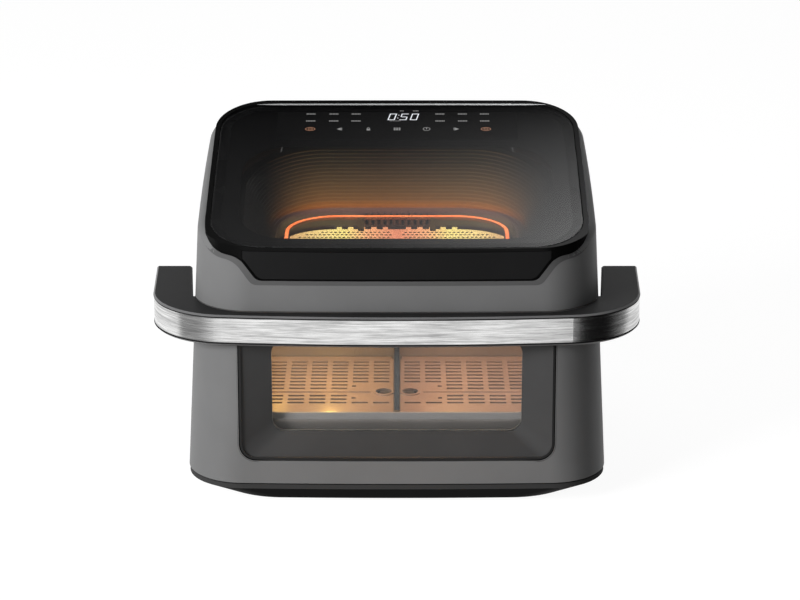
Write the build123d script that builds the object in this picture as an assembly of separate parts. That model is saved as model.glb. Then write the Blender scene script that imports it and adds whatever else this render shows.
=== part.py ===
from build123d import *
from math import atan2, cos, hypot, pi, radians, sin, sqrt, tan
import os

# Air fryer oven with a sloping glass top and one wide pull-out drawer.
# Millimetres. X is across the front, Y runs from the front (-) to the back (+), Z is up.
# The origin is on the floor, in the middle of the whole object's plan.

# Whole body
overall_depth = 300.0
foot_height = 4.0
body_bottom = 24.0
body_half = 201.6
corner_radius = 56.0
side_bow = 2.5
front_bow = 4.5
rear_bow = 2.0
side_draft = radians(3.1)
front_draft = radians(3.0)
rear_draft = radians(2.0)
shell_wall = 3.0
fit_gap = 0.3
seam_gap = 1.0

# Handle
handle_proud = 14.5
handle_top = 192.0
handle_height = 29.5
handle_front_bow = 14.4
handle_half = 229.5
handle_radius = 75.0
arm_end_half = 235.5
arm_width = 34.5
arm_slot_gap = 2.6
arm_length = 94.0
arm_corner = 3.0
band_height = 23.4
band_thickness = 0.8
band_inset = 0.4
handle_lip_chamfer = 1.6
handle_wall = 4.0
underside_thickness = 2.0

# Sloping top
glass_front_z = 253.5
top_slope = radians(15.5)
frame_half = 180.5
frame_length = 277.0
frame_corner = 54.0
frame_proud = 3.0
frame_depth = 12.0
frame_rim = 4.5
frame_ledge = 10.0
glass_thickness = 4.0
glass_front_margin = 1.2
glass_rear_margin = 5.5
glass_bevel = 0.8
gasket_thickness = 0.8
shoulder_radius = 8.0

# Front fascia under the glass
fascia_bottom = 223.0
fascia_half = 129.5
fascia_shelf_half = 146.0
fascia_shelf = 245.3
fascia_shelf_rise = 3.0
fascia_blend = 20.0
fascia_foot_blend = 10.0
fascia_corner = 24.0
fascia_proud = 0.8
fascia_wrap = 11.0
fascia_wall = 3.0

# Flat insert in the fascia
insert_margin = 1.2
insert_drop = 3.4
insert_half = 143.0
insert_depth = 1.6
insert_corner_gap = 0.6

# Drawer
wrap_depth = 51.5
surround_half = 149.0
surround_bottom = 46.6
surround_top = 176.0
surround_corner = 16.0
surround_wall = 2.5
surround_drop = 0.8
window_half = 118.0
window_bottom = 69.5
window_top = 160.0
window_corner = 12.0
window_y = -123.5
window_thickness = 3.5
window_overlap = 5.5
retainer_thickness = 1.2
back_plate_thickness = 2.5

# Cooking pot
pot_rim = 186.0
pot_floor = 40.0
pot_half = 172.0
pot_front = -113.0
pot_rear = 67.0
pot_corner = 30.0
pot_draft = radians(2.0)
pot_wall = 1.2
pot_flange = 5.0
pot_window_half = 126.0
pot_window_bottom = 83.5
pot_window_top = 170.0
pot_bottom_round = 8.0
pot_round_steps = 4
inner_glass_thickness = 3.0
inner_glass_overlap = 7.0
runner_height = 3.6
runner_width = 12.0
runner_x = 150.0
rail_height = 5.0

# Crisper plates and divider
plate_top = 79.0
plate_thickness = 1.5
plate_inner = 3.4
plate_edge_gap = 2.2
plate_corner = 26.0
plate_rim = 6.0
slot_length = 15.6
slot_width = 4.0
slot_pitch_x = 20.7
slot_pitch_y = 9.46
slot_columns = 7
slot_first_x = 15.2
slot_first_y = 43.0
slot_rows_rear = 9
slot_rows_front = 3
ridge_step = 2.18
ridge_width = 2.6
ridge_height = 1.0
finger_hole_x = 12.9
finger_hole_radius = 7.8
finger_ring = 2.4
leg_width = 7.0
divider_thickness = 2.4
divider_seal = 4.8
divider_top = 183.5
divider_foot_gap = 5.5
divider_seal_width = 5.0
guide_wall = 1.2
guide_depth = 6.0

# Heating chamber
heater_z = 229.0
heater_half = 107.0
heater_rear = 50.2
heater_front = -81.8
heater_corner = 50.0
heater_radius = 2.2
heater_leg_x = 12.0
heater_leg = 30.0
collar_margin = 11.0
collar_corner = 60.0
collar_rear_z = 236.0
collar_front_z = 222.0
well_half = 147.0
well_front = -112.0
well_rear = 82.0
well_rear_z = 290.0
well_front_z = 236.5
well_corner = 76.0
well_wall = 2.4
rib_count = 16
rib_depth = 1.3
guard_z = 215.0
guard_thickness = 0.8
guard_margin = 7.5
guard_hole = 4.2
guard_pitch = 11.8
tooth_width = 5.6
tooth_count = 13
ceiling_z = 196.0
ceiling_thickness = 1.2
liner_half = 181.0
liner_rear = 84.0
liner_floor = 31.0
liner_wall = 1.0
inner_pane_thickness = 3.0

# Fan at the back of the heating chamber
fan_z = 240.5
fan_radius = 36.0
fan_front = 92.0
fan_depth = 13.0
fan_blades = 12
fan_can_radius = 42.0
fan_can_wall = 1.0
fan_gap = 1.6
cooling_radius = 26.0
cooling_depth = 5.0
cooling_blades = 9
motor_radius = 24.0
motor_depth = 15.0
shaft_radius = 2.5
shaft_fit = 0.05

# Rear cover, electrics and fasteners
cover_half = 118.0
cover_bottom = 34.0
cover_top = 286.0
cover_corner = 14.0
vent_length = 46.0
vent_width = 5.0
vent_pitch = 12.0
vent_rows = 7
spacer_radius = 8.0
spacer_z = 262.0
spacer_x = 96.0
screw_head_radius = 3.6
screw_head_height = 2.0
foot_radius = 11.0
foot_x = 140.0
foot_front = -92.0
foot_rear = 104.0
base_lip_top = 22.5
base_lip_height = 4.4
base_lip_inset = 1.0
base_taper_inset = 13.0
base_side_inset = 20.0
base_corner = 72.0
base_floor = 3.0
board_thickness = 1.6

# Vents, cable gland and rear spacers
vent_x = 62.0
vent_low = 60.0
vent_high = 176.0
gland_x = 84.0
gland_z = 46.0
gland_radius = 6.0
gland_bore = 3.4
spacer_length = 4.0

# Drawer brackets, clips and screws
bracket_z = 130.0
bracket_leg = 12.0
clip_depth = 4.0
clip_height = 10.0
cap_floor = 2.0
screw_x = 184.0

# Band groove and small fits
band_groove = 1.2
joint_gap = 0.05

# Reflector's land, grille and guard rib
pane_land = 5.0
grille_pitch = 6.0
guard_rib = 5.0

# Probe, lamp and boards
probe_x = 150.0
probe_y = 40.0
probe_radius = 3.0
lamp_radius = 14.0
standoff = 14.0
board_left = -110.0
board_right = 30.0
board_low = 50.0
board_high = 150.0
display_front = 205.0
display_rear = 260.0
display_half = 120.0
film_thickness = 0.4
module_thickness = 2.6

# Worked-out places
body_height = handle_top - body_bottom
body_front = -overall_depth / 2 + handle_proud - body_height * tan(front_draft)
spacer_reach = overall_depth / 2
body_rear = spacer_reach - spacer_length
seam_y = body_front + body_height * tan(front_draft) + wrap_depth
upper_bottom = handle_top + seam_gap
handle_bottom = handle_top - handle_height
glass_front_y = body_front + (glass_front_z - body_bottom) * tan(front_draft)
solid_top = glass_front_z + (frame_length + corner_radius) * sin(top_slope)
heater_mid = (heater_front + heater_rear) / 2
can_rear = fan_front + fan_depth + fan_gap
cooling_front = can_rear + fan_can_wall + fan_gap
motor_front = cooling_front + cooling_depth + fan_gap
motor_rear = motor_front + motor_depth
guide_half = divider_seal / 2 + fit_gap + guide_wall
big = 2 * overall_depth


# Shared sections and frames
def bowed_outline(half, front, rear, bows, radius):
    """Plan section with four gently bowed sides and rounded corners."""
    side, ahead, behind = bows
    mid = (front + rear) / 2
    edges = [
        ThreePointArc((-half, front), (0, front - ahead), (half, front)),
        ThreePointArc((half, front), (half + side, mid), (half, rear)),
        ThreePointArc((half, rear), (0, rear + behind), (-half, rear)),
        ThreePointArc((-half, rear), (-half - side, mid), (-half, front)),
    ]
    face = make_face(edges)
    return fillet(face.vertices(), radius)


def body_section(z, inset=0.0):
    """Plan section of the drafted body at height z, drawn in by inset."""
    rise = z - body_bottom
    half = body_half - side_bow - rise * tan(side_draft) - inset
    front = body_front + front_bow + rise * tan(front_draft) + inset
    rear = body_rear - rear_bow - rise * tan(rear_draft) - inset
    bows = (side_bow, front_bow, rear_bow)
    return Pos(0, 0, z) * bowed_outline(half, front, rear, bows, corner_radius - inset)


def body_solid(low, high, inset=0.0):
    """The body's drafted block between two heights."""
    return loft([body_section(low, inset), body_section(high, inset)], ruled=True)


def top_plane(drop=0.0):
    """The sloping plane of the glass, lowered by drop along its normal."""
    normal = Vector(0, -sin(top_slope), cos(top_slope))
    origin = Vector(0, glass_front_y, glass_front_z) - normal * drop
    return Plane(origin=origin, x_dir=(1, 0, 0), z_dir=normal)


def top_height(y, drop=0.0):
    """Height of the sloping plane over a point y."""
    return glass_front_z + (y - glass_front_y) * tan(top_slope) - drop / cos(top_slope)


def under_top(solid, drop=0.0):
    """Keep what lies under the sloping plane."""
    return split(solid, bisect_by=top_plane(drop), keep=Keep.BOTTOM)


def block(x0, x1, y0, y1, z0, z1):
    """A box between two corners."""
    centre = Pos((x0 + x1) / 2, (y0 + y1) / 2, (z0 + z1) / 2)
    return centre * Box(x1 - x0, y1 - y0, z1 - z0)


def rod(x, y, z, radius, length, axis="z"):
    """A round bar that starts at a point and runs along an axis."""
    turn = {"z": Rot(0, 0, 0), "y": Rot(-90, 0, 0), "x": Rot(0, 90, 0)}[axis]
    bar = Cylinder(radius, length, align=(Align.CENTER, Align.CENTER, Align.MIN))
    return Pos(x, y, z) * turn * bar


def front_panel(half, low, high, radius):
    """A rounded rectangle seen from the front, centred on X, in the plane Y = 0."""
    plane = Plane(origin=(0, 0, (low + high) / 2), x_dir=(1, 0, 0), z_dir=(0, -1, 0))
    return plane * RectangleRounded(2 * half, high - low, radius)


def front_prism(half, low, high, radius, y0, y1):
    """A rounded rectangle run along Y between two depths."""
    return Pos(0, y0, 0) * extrude(front_panel(half, low, high, radius), y1 - y0, dir=(0, 1, 0))


def mirrored(solid):
    """The same piece on the other side of the object."""
    return mirror(solid, about=Plane.YZ)


def save(name, *solids):
    """Write one node of the assembly."""
    pieces = [piece for solid in solids for piece in solid.solids()]
    shape = pieces[0] if len(pieces) == 1 else Compound(children=pieces)
    export_step(shape, "parts/" + name + ".step")


# Sloping top: frame, glass and fascia
def top_outline(inset=0.0, front_inset=None, rear_inset=None):
    """The top frame's outline on the sloping plane, drawn in by inset."""
    ahead = inset if front_inset is None else front_inset
    behind = inset if rear_inset is None else rear_inset
    bows = (0.6, 2.5, 0.6)
    radius = frame_corner - inset
    half = frame_half - bows[0] - inset
    return bowed_outline(half, bows[1] + ahead, frame_length - bows[2] - behind, bows, radius)


def on_top(sketch, top=0.0, depth=1.0):
    """Run an outline down from the sloping plane."""
    return extrude(top_plane(top) * sketch, -depth)


def fascia_front_face(grow=0.0):
    """The fascia's front outline: flat bottom, S-shaped shoulders, open top."""
    low = fascia_bottom - grow
    shelf = fascia_shelf - grow
    inner = fascia_half + grow
    outer = fascia_shelf_half + grow
    wide = frame_half + grow
    points = [
        (-wide, solid_top),
        (-wide, shelf + fascia_shelf_rise),
        (-outer, shelf),
        (-inner, low),
        (inner, low),
        (outer, shelf),
        (wide, shelf + fascia_shelf_rise),
        (wide, solid_top),
    ]
    turns = [fascia_corner, fascia_blend, fascia_foot_blend]
    turns = turns + turns[::-1]
    path = FilletPolyline(*points, radius=turns)
    roof = Line((wide, solid_top), (-wide, solid_top))
    return Plane.XZ * make_face(path.edges() + roof.edges())


def fascia_side_face(grow=0.0):
    """The fascia seen from the side: it runs out into the slope past the corner."""
    y = glass_front_y + fascia_wrap + grow
    low = fascia_bottom - fascia_foot_blend - grow
    turn = fascia_shelf - grow
    run = (frame_corner, tan(top_slope) * frame_corner)
    end_y = y + run[0]
    end_z = top_height(end_y, frame_proud + grow)
    path = FilletPolyline((y, low), (y, turn), (end_y, end_z), radius=fascia_foot_blend)
    far = glass_front_y - corner_radius
    roof = Polyline((end_y, end_z), (end_y, solid_top), (far, solid_top), (far, low), (y, low))
    return Plane.YZ * make_face(path.edges() + roof.edges())


def fascia_region(grow=0.0):
    """The space in front and round the corners that the black fascia fills."""
    far = Pos(0, glass_front_y - corner_radius, 0)
    front = far * extrude(fascia_front_face(grow), 2 * corner_radius, dir=(0, 1, 0))
    side = extrude(fascia_side_face(grow), body_half, both=True)
    return front & side


def frame_region(grow=0.0):
    """Everything that the top frame and its fascia may fill."""
    ring = on_top(top_outline(-grow), -1.0, frame_depth + 1.0 + grow)
    return ring + fascia_region(grow)


def fascia_plate_region(grow=0.0):
    """The space of the flat insert in the fascia, between two depths of the skin."""
    far = Pos(0, glass_front_y - corner_radius, 0)
    front = far * extrude(fascia_front_face(grow - insert_margin), 2 * corner_radius, dir=(0, 1, 0))
    half = insert_half + grow
    front = front & block(-half, half, -big, big, 0, big)
    return under_top(front, insert_drop - grow)


def make_fascia_plate():
    """Matt insert that fills the recess in the front of the black moulding."""
    skin = body_solid(upper_bottom, solid_top, -fascia_proud)
    skin = skin - body_solid(upper_bottom - 1, solid_top + 1, insert_depth - fascia_proud - joint_gap)
    return fascia_plate_region() & skin


def make_top_frame():
    """Black moulding: a rim round the glass that runs down the front as a fascia."""
    outer = under_top(body_solid(upper_bottom, solid_top, -fascia_proud))
    inner = under_top(body_solid(upper_bottom, solid_top, fascia_wall), frame_ledge)
    mass = (frame_region() & outer) - inner
    pocket = on_top(top_outline(frame_rim, glass_front_margin, glass_rear_margin), -1.0, glass_depth() + 1.0)
    opening = on_top(top_outline(frame_rim + frame_ledge), -1.0, frame_ledge + 5.0)
    recess = fascia_plate_region(insert_corner_gap)
    recess = recess - body_solid(upper_bottom - 1, solid_top + 1, insert_depth - fascia_proud)
    return mass - pocket - opening - recess


def glass_depth():
    """Depth of the pocket that holds the glass and its gasket."""
    return glass_thickness + gasket_thickness


def glass_outline(inset=0.0):
    """The glass's own outline on the slope."""
    margin = frame_rim + fit_gap + inset
    return top_outline(margin, glass_front_margin + fit_gap + inset, glass_rear_margin + fit_gap + inset)


def make_top_glass():
    """The sloping glass panel with a small bevel round its upper edge."""
    glass = on_top(glass_outline(), 0.0, glass_thickness)
    rim = glass.faces().sort_by(Axis.Z)[-1].edges()
    return chamfer(rim, glass_bevel)


def make_glass_gasket():
    """Thin seal between the glass and the frame's ledge."""
    ring = on_top(glass_outline(), glass_thickness, gasket_thickness)
    return ring - on_top(top_outline(frame_rim + frame_ledge), glass_thickness - 1, gasket_thickness + 2)


# Housing shells
def make_upper_housing():
    """Grey upper shell with soft shoulders and a seat for the black frame."""
    outer = under_top(body_solid(upper_bottom, solid_top), frame_proud)
    top_face = outer.faces().sort_by(Axis.Z)[-1]
    outer = fillet(top_face.edges(), shoulder_radius)
    inner = under_top(body_solid(upper_bottom - 5, solid_top, shell_wall), frame_proud + shell_wall)
    return outer - inner - frame_region(fit_gap) - cover_region(fit_gap)


def body_ring(low, high, outer_inset, inner_inset):
    """A wall that follows the body between two insets."""
    return body_solid(low, high, outer_inset) - body_solid(low - 1, high + 1, inner_inset)


def behind_seam():
    """Everything behind the joint between the drawer front and the housing."""
    return block(-big, big, seam_y + seam_gap, big, 0, big)


def make_lower_housing():
    """Grey shell of the sides and back, with a tongue that carries the upper shell."""
    tongue = 2 * shell_wall
    wall = body_ring(body_bottom, handle_top, 0.0, shell_wall)
    root = body_ring(handle_top - tongue, handle_top - fit_gap, shell_wall / 2, tongue)
    lip = body_ring(handle_top - tongue, upper_bottom + tongue, shell_wall + fit_gap, tongue)
    return ((wall + root + lip) & behind_seam()) - cover_region(fit_gap)


# Base and feet
def foot_places():
    """Plan places of the four feet."""
    return [(x, y) for x in (-foot_x, foot_x) for y in (foot_front, foot_rear)]


def post_places():
    """Plan places of the four posts that carry the cavity's floor."""
    front = -liner_rear + 2 * foot_radius
    rear = liner_rear - 2 * foot_radius
    return [(x, y) for x in (-foot_x, foot_x) for y in (front, rear)]


def base_section(z, inset=0.0):
    """Plan section of the base near the floor, rounder than the body above it."""
    half = body_half - side_bow - base_side_inset - inset
    front = body_front + front_bow + base_taper_inset + inset
    rear = body_rear - rear_bow - base_taper_inset - inset
    bows = (side_bow, front_bow, rear_bow)
    return Pos(0, 0, z) * bowed_outline(half, front, rear, bows, base_corner - inset)


def make_base_tray():
    """Black base: a tapered tray with a lip under the grey shells."""
    lip_low = base_lip_top - base_lip_height
    foot = base_section(foot_height)
    waist = body_section(lip_low, base_lip_inset)
    tray = loft([foot, waist], ruled=True) + body_solid(lip_low, base_lip_top, base_lip_inset)
    floor_z = foot_height + base_floor
    floor = base_section(floor_z, base_floor)
    mouth = body_section(base_lip_top + 1, 3 * base_floor)
    tray = tray - loft([floor, mouth], ruled=True)
    tongue = body_ring(base_lip_top, liner_floor - 1, shell_wall + fit_gap, 2 * shell_wall)
    posts = [rod(x, y, floor_z, foot_radius, liner_floor - floor_z) for x, y in post_places()]
    return tray + (tongue & behind_seam()) + posts - [base_screw_bore(x, y) for x, y in screw_places()]


def make_feet():
    """Four rubber feet with a soft lower edge."""
    feet = []
    for x, y in foot_places():
        foot = rod(x, y, 0, foot_radius, foot_height)
        feet.append(fillet(foot.faces().sort_by(Axis.Z)[0].edges(), foot_height / 4))
    return feet


def screw_places():
    """Plan places of the screws in the base."""
    reach = foot_x - 2.5 * foot_radius
    return [(x, y) for x in (-reach, reach) for y in (foot_front, foot_rear)]


def base_screw_bore(x, y):
    """A counterbore for a screw head in the underside of the base."""
    return rod(x, y, foot_height, screw_head_radius + fit_gap, screw_head_height)


def make_base_screws():
    """Pan-head screws under the base, heads below its face."""
    heads = [rod(x, y, foot_height, screw_head_radius, screw_head_height) for x, y in screw_places()]
    return [head - screw_slot(head) for head in heads]


def screw_slot(head):
    """A cross slot in the lower face of a screw head."""
    box = head.bounding_box()
    x, y = box.center().X, box.center().Y
    wide, deep = screw_head_radius / 1.6, screw_head_height / 2
    low = box.min.Z - 1
    return block(x - wide, x + wide, y - 0.5, y + 0.5, low, low + 1 + deep)


# Rear cover
def cover_region(grow=0.0):
    """The rear cover's outline run through the back wall."""
    outline = (cover_half + grow, cover_bottom - grow, cover_top + grow, cover_corner)
    return front_prism(*outline, motor_rear, body_rear + shell_wall)


def vent_slots():
    """Vent openings of the rear cover: two columns, high up and low down."""
    slots = []
    for side in (-1, 1):
        middle = side * vent_x
        for first in (vent_low, vent_high):
            for row in range(vent_rows):
                z = first + row * vent_pitch
                outline = (middle - vent_length / 2, middle + vent_length / 2)
                slots.append(block(*outline, motor_rear, body_rear + 1, z, z + vent_width))
    return slots


def make_rear_cover():
    """Removable back panel with vent slots and a hole for the cable gland."""
    wall = body_ring(body_bottom, cover_top + cover_corner, 0.0, shell_wall)
    panel = cover_region() & wall
    return panel - vent_slots() - rod(gland_x, motor_rear, gland_z, gland_radius + fit_gap, big, "y")


def make_cable_gland():
    """Short bush in the rear cover where the mains lead would enter."""
    face = body_rear - (gland_z - body_bottom) * tan(rear_draft)
    collar = rod(gland_x, face + 0.2, gland_z, gland_radius + 3, spacer_reach - face - 0.2, "y")
    neck = rod(gland_x, face - 3 * shell_wall, gland_z, gland_radius, 3 * shell_wall + 1, "y")
    return collar + neck - rod(gland_x, motor_rear, gland_z, gland_bore, big, "y")


def make_rear_spacers():
    """Two bumpers that keep the back clear of a wall."""
    spacers = []
    for x in (-spacer_x, spacer_x):
        peg = rod(x, motor_rear, spacer_z, spacer_radius, spacer_reach - motor_rear, "y")
        spacers.append(peg - body_solid(body_bottom, solid_top))
    return spacers


def make_cover_screws():
    """Screws round the edge of the rear cover."""
    screws = []
    for x in (-cover_half + cover_corner, cover_half - cover_corner):
        for z in (cover_bottom + cover_corner, (cover_bottom + cover_top) / 2, cover_top - cover_corner):
            face = body_rear - (z - body_bottom) * tan(rear_draft)
            head = rod(x, motor_rear, z, screw_head_radius, face + screw_head_height / 2 - motor_rear, "y")
            screws.append(head - body_solid(body_bottom, solid_top))
    return screws


# Handle
def handle_outline(inset=0.0, inner=0.0):
    """Plan of the U-shaped handle before the body is taken out of it."""
    half = handle_half - inset
    front = -overall_depth / 2 + inset
    side_y = front + handle_front_bow
    arm_y = seam_y + arm_length
    arm_rear = arm_y - inner
    outer = arm_end_half - inset
    arm_inner = arm_end_half - arm_width + inner
    root = body_half_at(seam_y) + arm_slot_gap + inner
    root_y = seam_y - inner
    front_edge = ThreePointArc((-half, side_y), (0, front), (half, side_y))
    sides = Polyline(
        (half, side_y),
        (outer, arm_rear),
        (arm_inner, arm_rear),
        (root, root_y),
        (-root, root_y),
        (-arm_inner, arm_rear),
        (-outer, arm_rear),
        (-half, side_y),
    )
    face = make_face(front_edge.edges() + sides.edges())
    corners = face.vertices().filter_by(lambda v: abs(v.Y - side_y) < 0.01)
    face = fillet(corners, handle_radius - inset)
    tips = face.vertices().filter_by(lambda v: abs(v.X) < outer - 1 and abs(v.Y - arm_rear) < 0.01)
    return fillet(tips, arm_corner)


def body_half_at(y):
    """Half width of the body at the handle's height, near the corner of the drawer front."""
    full = body_half - side_bow - body_height * tan(side_draft)
    corner_y = body_front + front_bow + body_height * tan(front_draft) + corner_radius
    short = max(corner_y - y, 0.0)
    return full - corner_radius + sqrt(corner_radius**2 - short**2) + side_bow / 2


def handle_slab(low, high, inset=0.0, inner=0.0):
    """The handle's plan run between two heights."""
    return Pos(0, 0, low) * extrude(handle_outline(inset, inner), high - low)


def make_handle_core():
    """Black U-shaped handle with lips above and below the steel band, hollow from below."""
    core = handle_slab(handle_bottom, handle_top)
    rims = [face.edges() for face in (core.faces().sort_by(Axis.Z)[0], core.faces().sort_by(Axis.Z)[-1])]
    core = chamfer(rims[0] + rims[1], handle_lip_chamfer)
    low, high = band_span()
    groove = handle_slab(low - band_groove, high + band_groove, -1.0)
    groove = groove - handle_slab(low - 2, high + 2, band_inset + band_thickness)
    keep = block(-handle_half + handle_wall * 2, handle_half - handle_wall * 2, seam_y, big, 0, big)
    core = core - (groove - keep) - body_solid(handle_bottom - 1, handle_top + 1, -joint_gap)
    hollow = handle_slab(handle_bottom - 1, handle_top - handle_wall, handle_wall, handle_wall)
    return core - (hollow - body_solid(handle_bottom - 2, handle_top, -handle_wall))


def band_span():
    """Lowest and highest level of the steel band."""
    middle = (handle_bottom + handle_top) / 2
    return middle - band_height / 2, middle + band_height / 2


def make_handle_band():
    """Brushed-steel strip that wraps the outside of the handle."""
    low, high = band_span()
    strip = handle_slab(low, high, band_inset) - handle_slab(low - 1, high + 1, band_inset + band_thickness)
    keep = block(-handle_half + handle_wall * 2, handle_half - handle_wall * 2, seam_y, big, 0, big)
    return strip - keep - body_solid(handle_bottom - 1, handle_top + 1, -handle_wall)


def make_handle_underside():
    """Flat cover that closes the handle from below."""
    inset = handle_wall + fit_gap
    plate = handle_slab(handle_bottom, handle_bottom + underside_thickness, inset, inset)
    return plate - body_solid(handle_bottom - 1, handle_top, -inset)


# Drawer front and window
def ahead_of_seam(back=0.0):
    """Everything in front of the drawer's back edge."""
    return block(-big, big, -big, seam_y - back, 0, big)


def surround_prism(grow=0.0, y1=0.0):
    """The window surround's outer outline run back from in front of the door."""
    low = surround_bottom - grow
    high = surround_top + grow
    radius = surround_corner + grow
    return front_prism(surround_half + grow, low, high, radius, -overall_depth / 2, y1)


def make_drawer_front():
    """Grey front shell of the drawer, wrapped round both corners."""
    outer = body_solid(body_bottom, handle_top)
    room = body_solid(body_bottom + shell_wall, handle_top - shell_wall, shell_wall)
    shell = (outer - room) & ahead_of_seam()
    mouth = pot_block(pot_floor, handle_top + 1, -pot_flange - seam_gap)
    return shell - surround_prism(fit_gap, window_y) - mouth


def surround_funnel(grow=0.0):
    """The tapered recess that runs from the door's face down to the window."""
    level = (surround_bottom + surround_top) / 2
    y = body_front + front_bow + (level - body_bottom) * tan(front_draft) + surround_drop
    lean = Vector(0, -cos(front_draft), sin(front_draft))
    plane = Plane(origin=(0, y, level), x_dir=(1, 0, 0), z_dir=lean)
    half = surround_half - surround_wall + grow
    height = surround_top - surround_bottom - 2 * (surround_wall - grow)
    front = plane * RectangleRounded(2 * half, height, surround_corner - surround_wall + grow)
    back = front_panel(window_half + grow, window_bottom - grow, window_top + grow, window_corner + grow)
    return loft([front, Pos(0, window_y, 0) * back], ruled=True) + extrude(front, 2 * front_bow)


def make_window_surround():
    """Black moulding that slopes in from the door's face to the window."""
    mass = surround_prism(0.0, window_y) & body_solid(body_bottom, handle_top, surround_drop)
    room = surround_prism(-surround_wall, window_y + 1)
    room = room & body_solid(body_bottom, handle_top, surround_drop + surround_wall)
    return mass - surround_funnel() - (room - surround_funnel(surround_wall))


def make_window_outer_glass():
    """Outer pane, seated behind the surround."""
    return window_pane(window_overlap, window_y, window_y + window_thickness)


def window_pane(overlap, y0, y1):
    """A pane that laps the window opening all round."""
    low, high = window_bottom - overlap, window_top + overlap
    return front_prism(window_half + overlap, low, high, window_corner + overlap / 2, y0, y1)


def make_window_retainer():
    """Sheet-metal frame that holds the outer pane against the surround."""
    back = window_y + window_thickness
    plate = window_pane(2 * window_overlap, back, back + retainer_thickness)
    hole = window_pane(0, back - 1, back + retainer_thickness + 1)
    return plate - hole


def make_drawer_back_plate():
    """Plate that closes the drawer front from behind and carries the pot."""
    inset = shell_wall + fit_gap
    plate = body_solid(body_bottom + inset, handle_top - inset, inset)
    slab = block(-big, big, seam_y - back_plate_thickness, seam_y, 0, big)
    plate = plate & slab
    hole = pot_block(pot_floor - fit_gap, pot_rim, -fit_gap) + pot_rim_block(seam_gap)
    return plate - hole - pot_block(pot_rim - 1, handle_top, -pot_flange - seam_gap) - magnet_block(0.1)


# Cooking pot
def pot_section(z, inset=0.0):
    """Plan section of the pot's drafted wall at height z."""
    back = (pot_rim - z) * tan(pot_draft) + inset
    wide = 2 * (pot_half - back)
    deep = pot_rear - pot_front - 2 * back
    return Pos(0, (pot_rear + pot_front) / 2, z) * RectangleRounded(wide, deep, pot_corner - inset)


def pot_block(low, high, inset=0.0):
    """The pot's drafted block between two heights."""
    return loft([pot_section(low, inset), pot_section(high, inset)], ruled=True)


def pot_rim_block(grow=0.0):
    """The space of the pot's rim flange."""
    low = pot_rim - pot_wall - grow
    return Pos(0, 0, low) * extrude(Pos(0, 0, -pot_rim) * pot_section(pot_rim, -pot_flange - grow), pot_wall + grow)


def pot_window(grow=0.0):
    """The window opening in the pot's front wall."""
    outline = (pot_window_half + grow, pot_window_bottom - grow, pot_window_top + grow)
    return front_prism(*outline, window_corner + grow, pot_front - 20, pot_front + 20)


def pot_tub(low, high, inset=0.0):
    """The pot's block with its floor edge rounded in a few rings."""
    radius = pot_bottom_round - inset
    sections = []
    for i in range(pot_round_steps + 1):
        turn = pi / 2 * i / pot_round_steps
        sections.append(pot_section(low + radius * (1 - cos(turn)), inset + radius * (1 - sin(turn))))
    sections.append(pot_section(high, inset))
    return loft(sections, ruled=True)


def make_cooking_pot():
    """Deep tub with a drafted wall, a rounded floor edge, a rim and a window in front."""
    outer = pot_tub(pot_floor, pot_rim)
    inner = pot_tub(pot_floor + pot_wall, pot_rim + 1, pot_wall)
    return outer + pot_rim_block() - inner - pot_window()


def tilted_pane(overlap, near, far, radius):
    """A pane or frame that lies on the pot's drafted front wall, near to far in front of it."""
    low = pot_window_bottom - overlap
    high = pot_window_top + overlap
    middle = (low + high) / 2
    wall_y = pot_front + (pot_rim - middle) * tan(pot_draft)
    outward = Vector(0, -cos(pot_draft), -sin(pot_draft))
    plane = Plane(origin=Vector(0, wall_y, middle) + outward * far, x_dir=(1, 0, 0), z_dir=outward)
    outline = RectangleRounded(2 * (pot_window_half + overlap), high - low, radius)
    return extrude(plane * outline, near - far)


def make_inner_window_seal():
    """Silicone frame between the pot and its pane."""
    frame = tilted_pane(inner_glass_overlap, 0.0, 1.0, window_corner + inner_glass_overlap / 2)
    return frame - tilted_pane(0.0, -1.0, 2.0, window_corner)


def make_inner_window_glass():
    """Inner pane on the outside of the pot's front wall."""
    radius = window_corner + inner_glass_overlap / 2
    return tilted_pane(inner_glass_overlap, 1.0, 1.0 + inner_glass_thickness, radius)


def make_pot_runners():
    """Nylon strips under the pot that slide on the rails."""
    front, rear = pot_front + pot_corner, pot_rear - pot_corner
    strip = block(
        runner_x - runner_width / 2, runner_x + runner_width / 2, front, rear, pot_floor - runner_height, pot_floor
    )
    return [strip, mirrored(strip)]


def make_pot_brackets():
    """Angle brackets that tie the pot's sides to the drawer's back plate."""
    inner = pot_half - (pot_rim - bracket_z) * tan(pot_draft)
    y = seam_y
    leaf = block(inner - 4, inner + bracket_leg, y, y + 1.5, bracket_z - 10, bracket_z + 10)
    cheek = block(inner - 4, inner + 1.5, y, y + bracket_leg, bracket_z - 10, bracket_z + 10)
    angle = leaf + cheek - pot_block(pot_floor, pot_rim)
    return [angle, mirrored(angle)]


def magnet_block(grow=0.0):
    """Place of the magnet that the drawer sensor reads."""
    x = liner_half + 4
    half = 5 + grow
    return block(x - half / 2, x + half / 2, seam_y - 2 - grow, seam_y + grow, bracket_z + 20, bracket_z + 32)


def make_drawer_magnet():
    """Small magnet set in the drawer's back plate."""
    return magnet_block()


# Divider guide in the pot
def pot_inside(z, gap=0.0):
    """Half width, front and rear of the pot's inside at height z, less a gap."""
    back = (pot_rim - z) * tan(pot_draft) + pot_wall + gap
    return pot_half - back, pot_front + back, pot_rear - back


def pot_room():
    """The room inside the pot's wall."""
    return pot_block(pot_floor + pot_wall, pot_rim, pot_wall)


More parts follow.
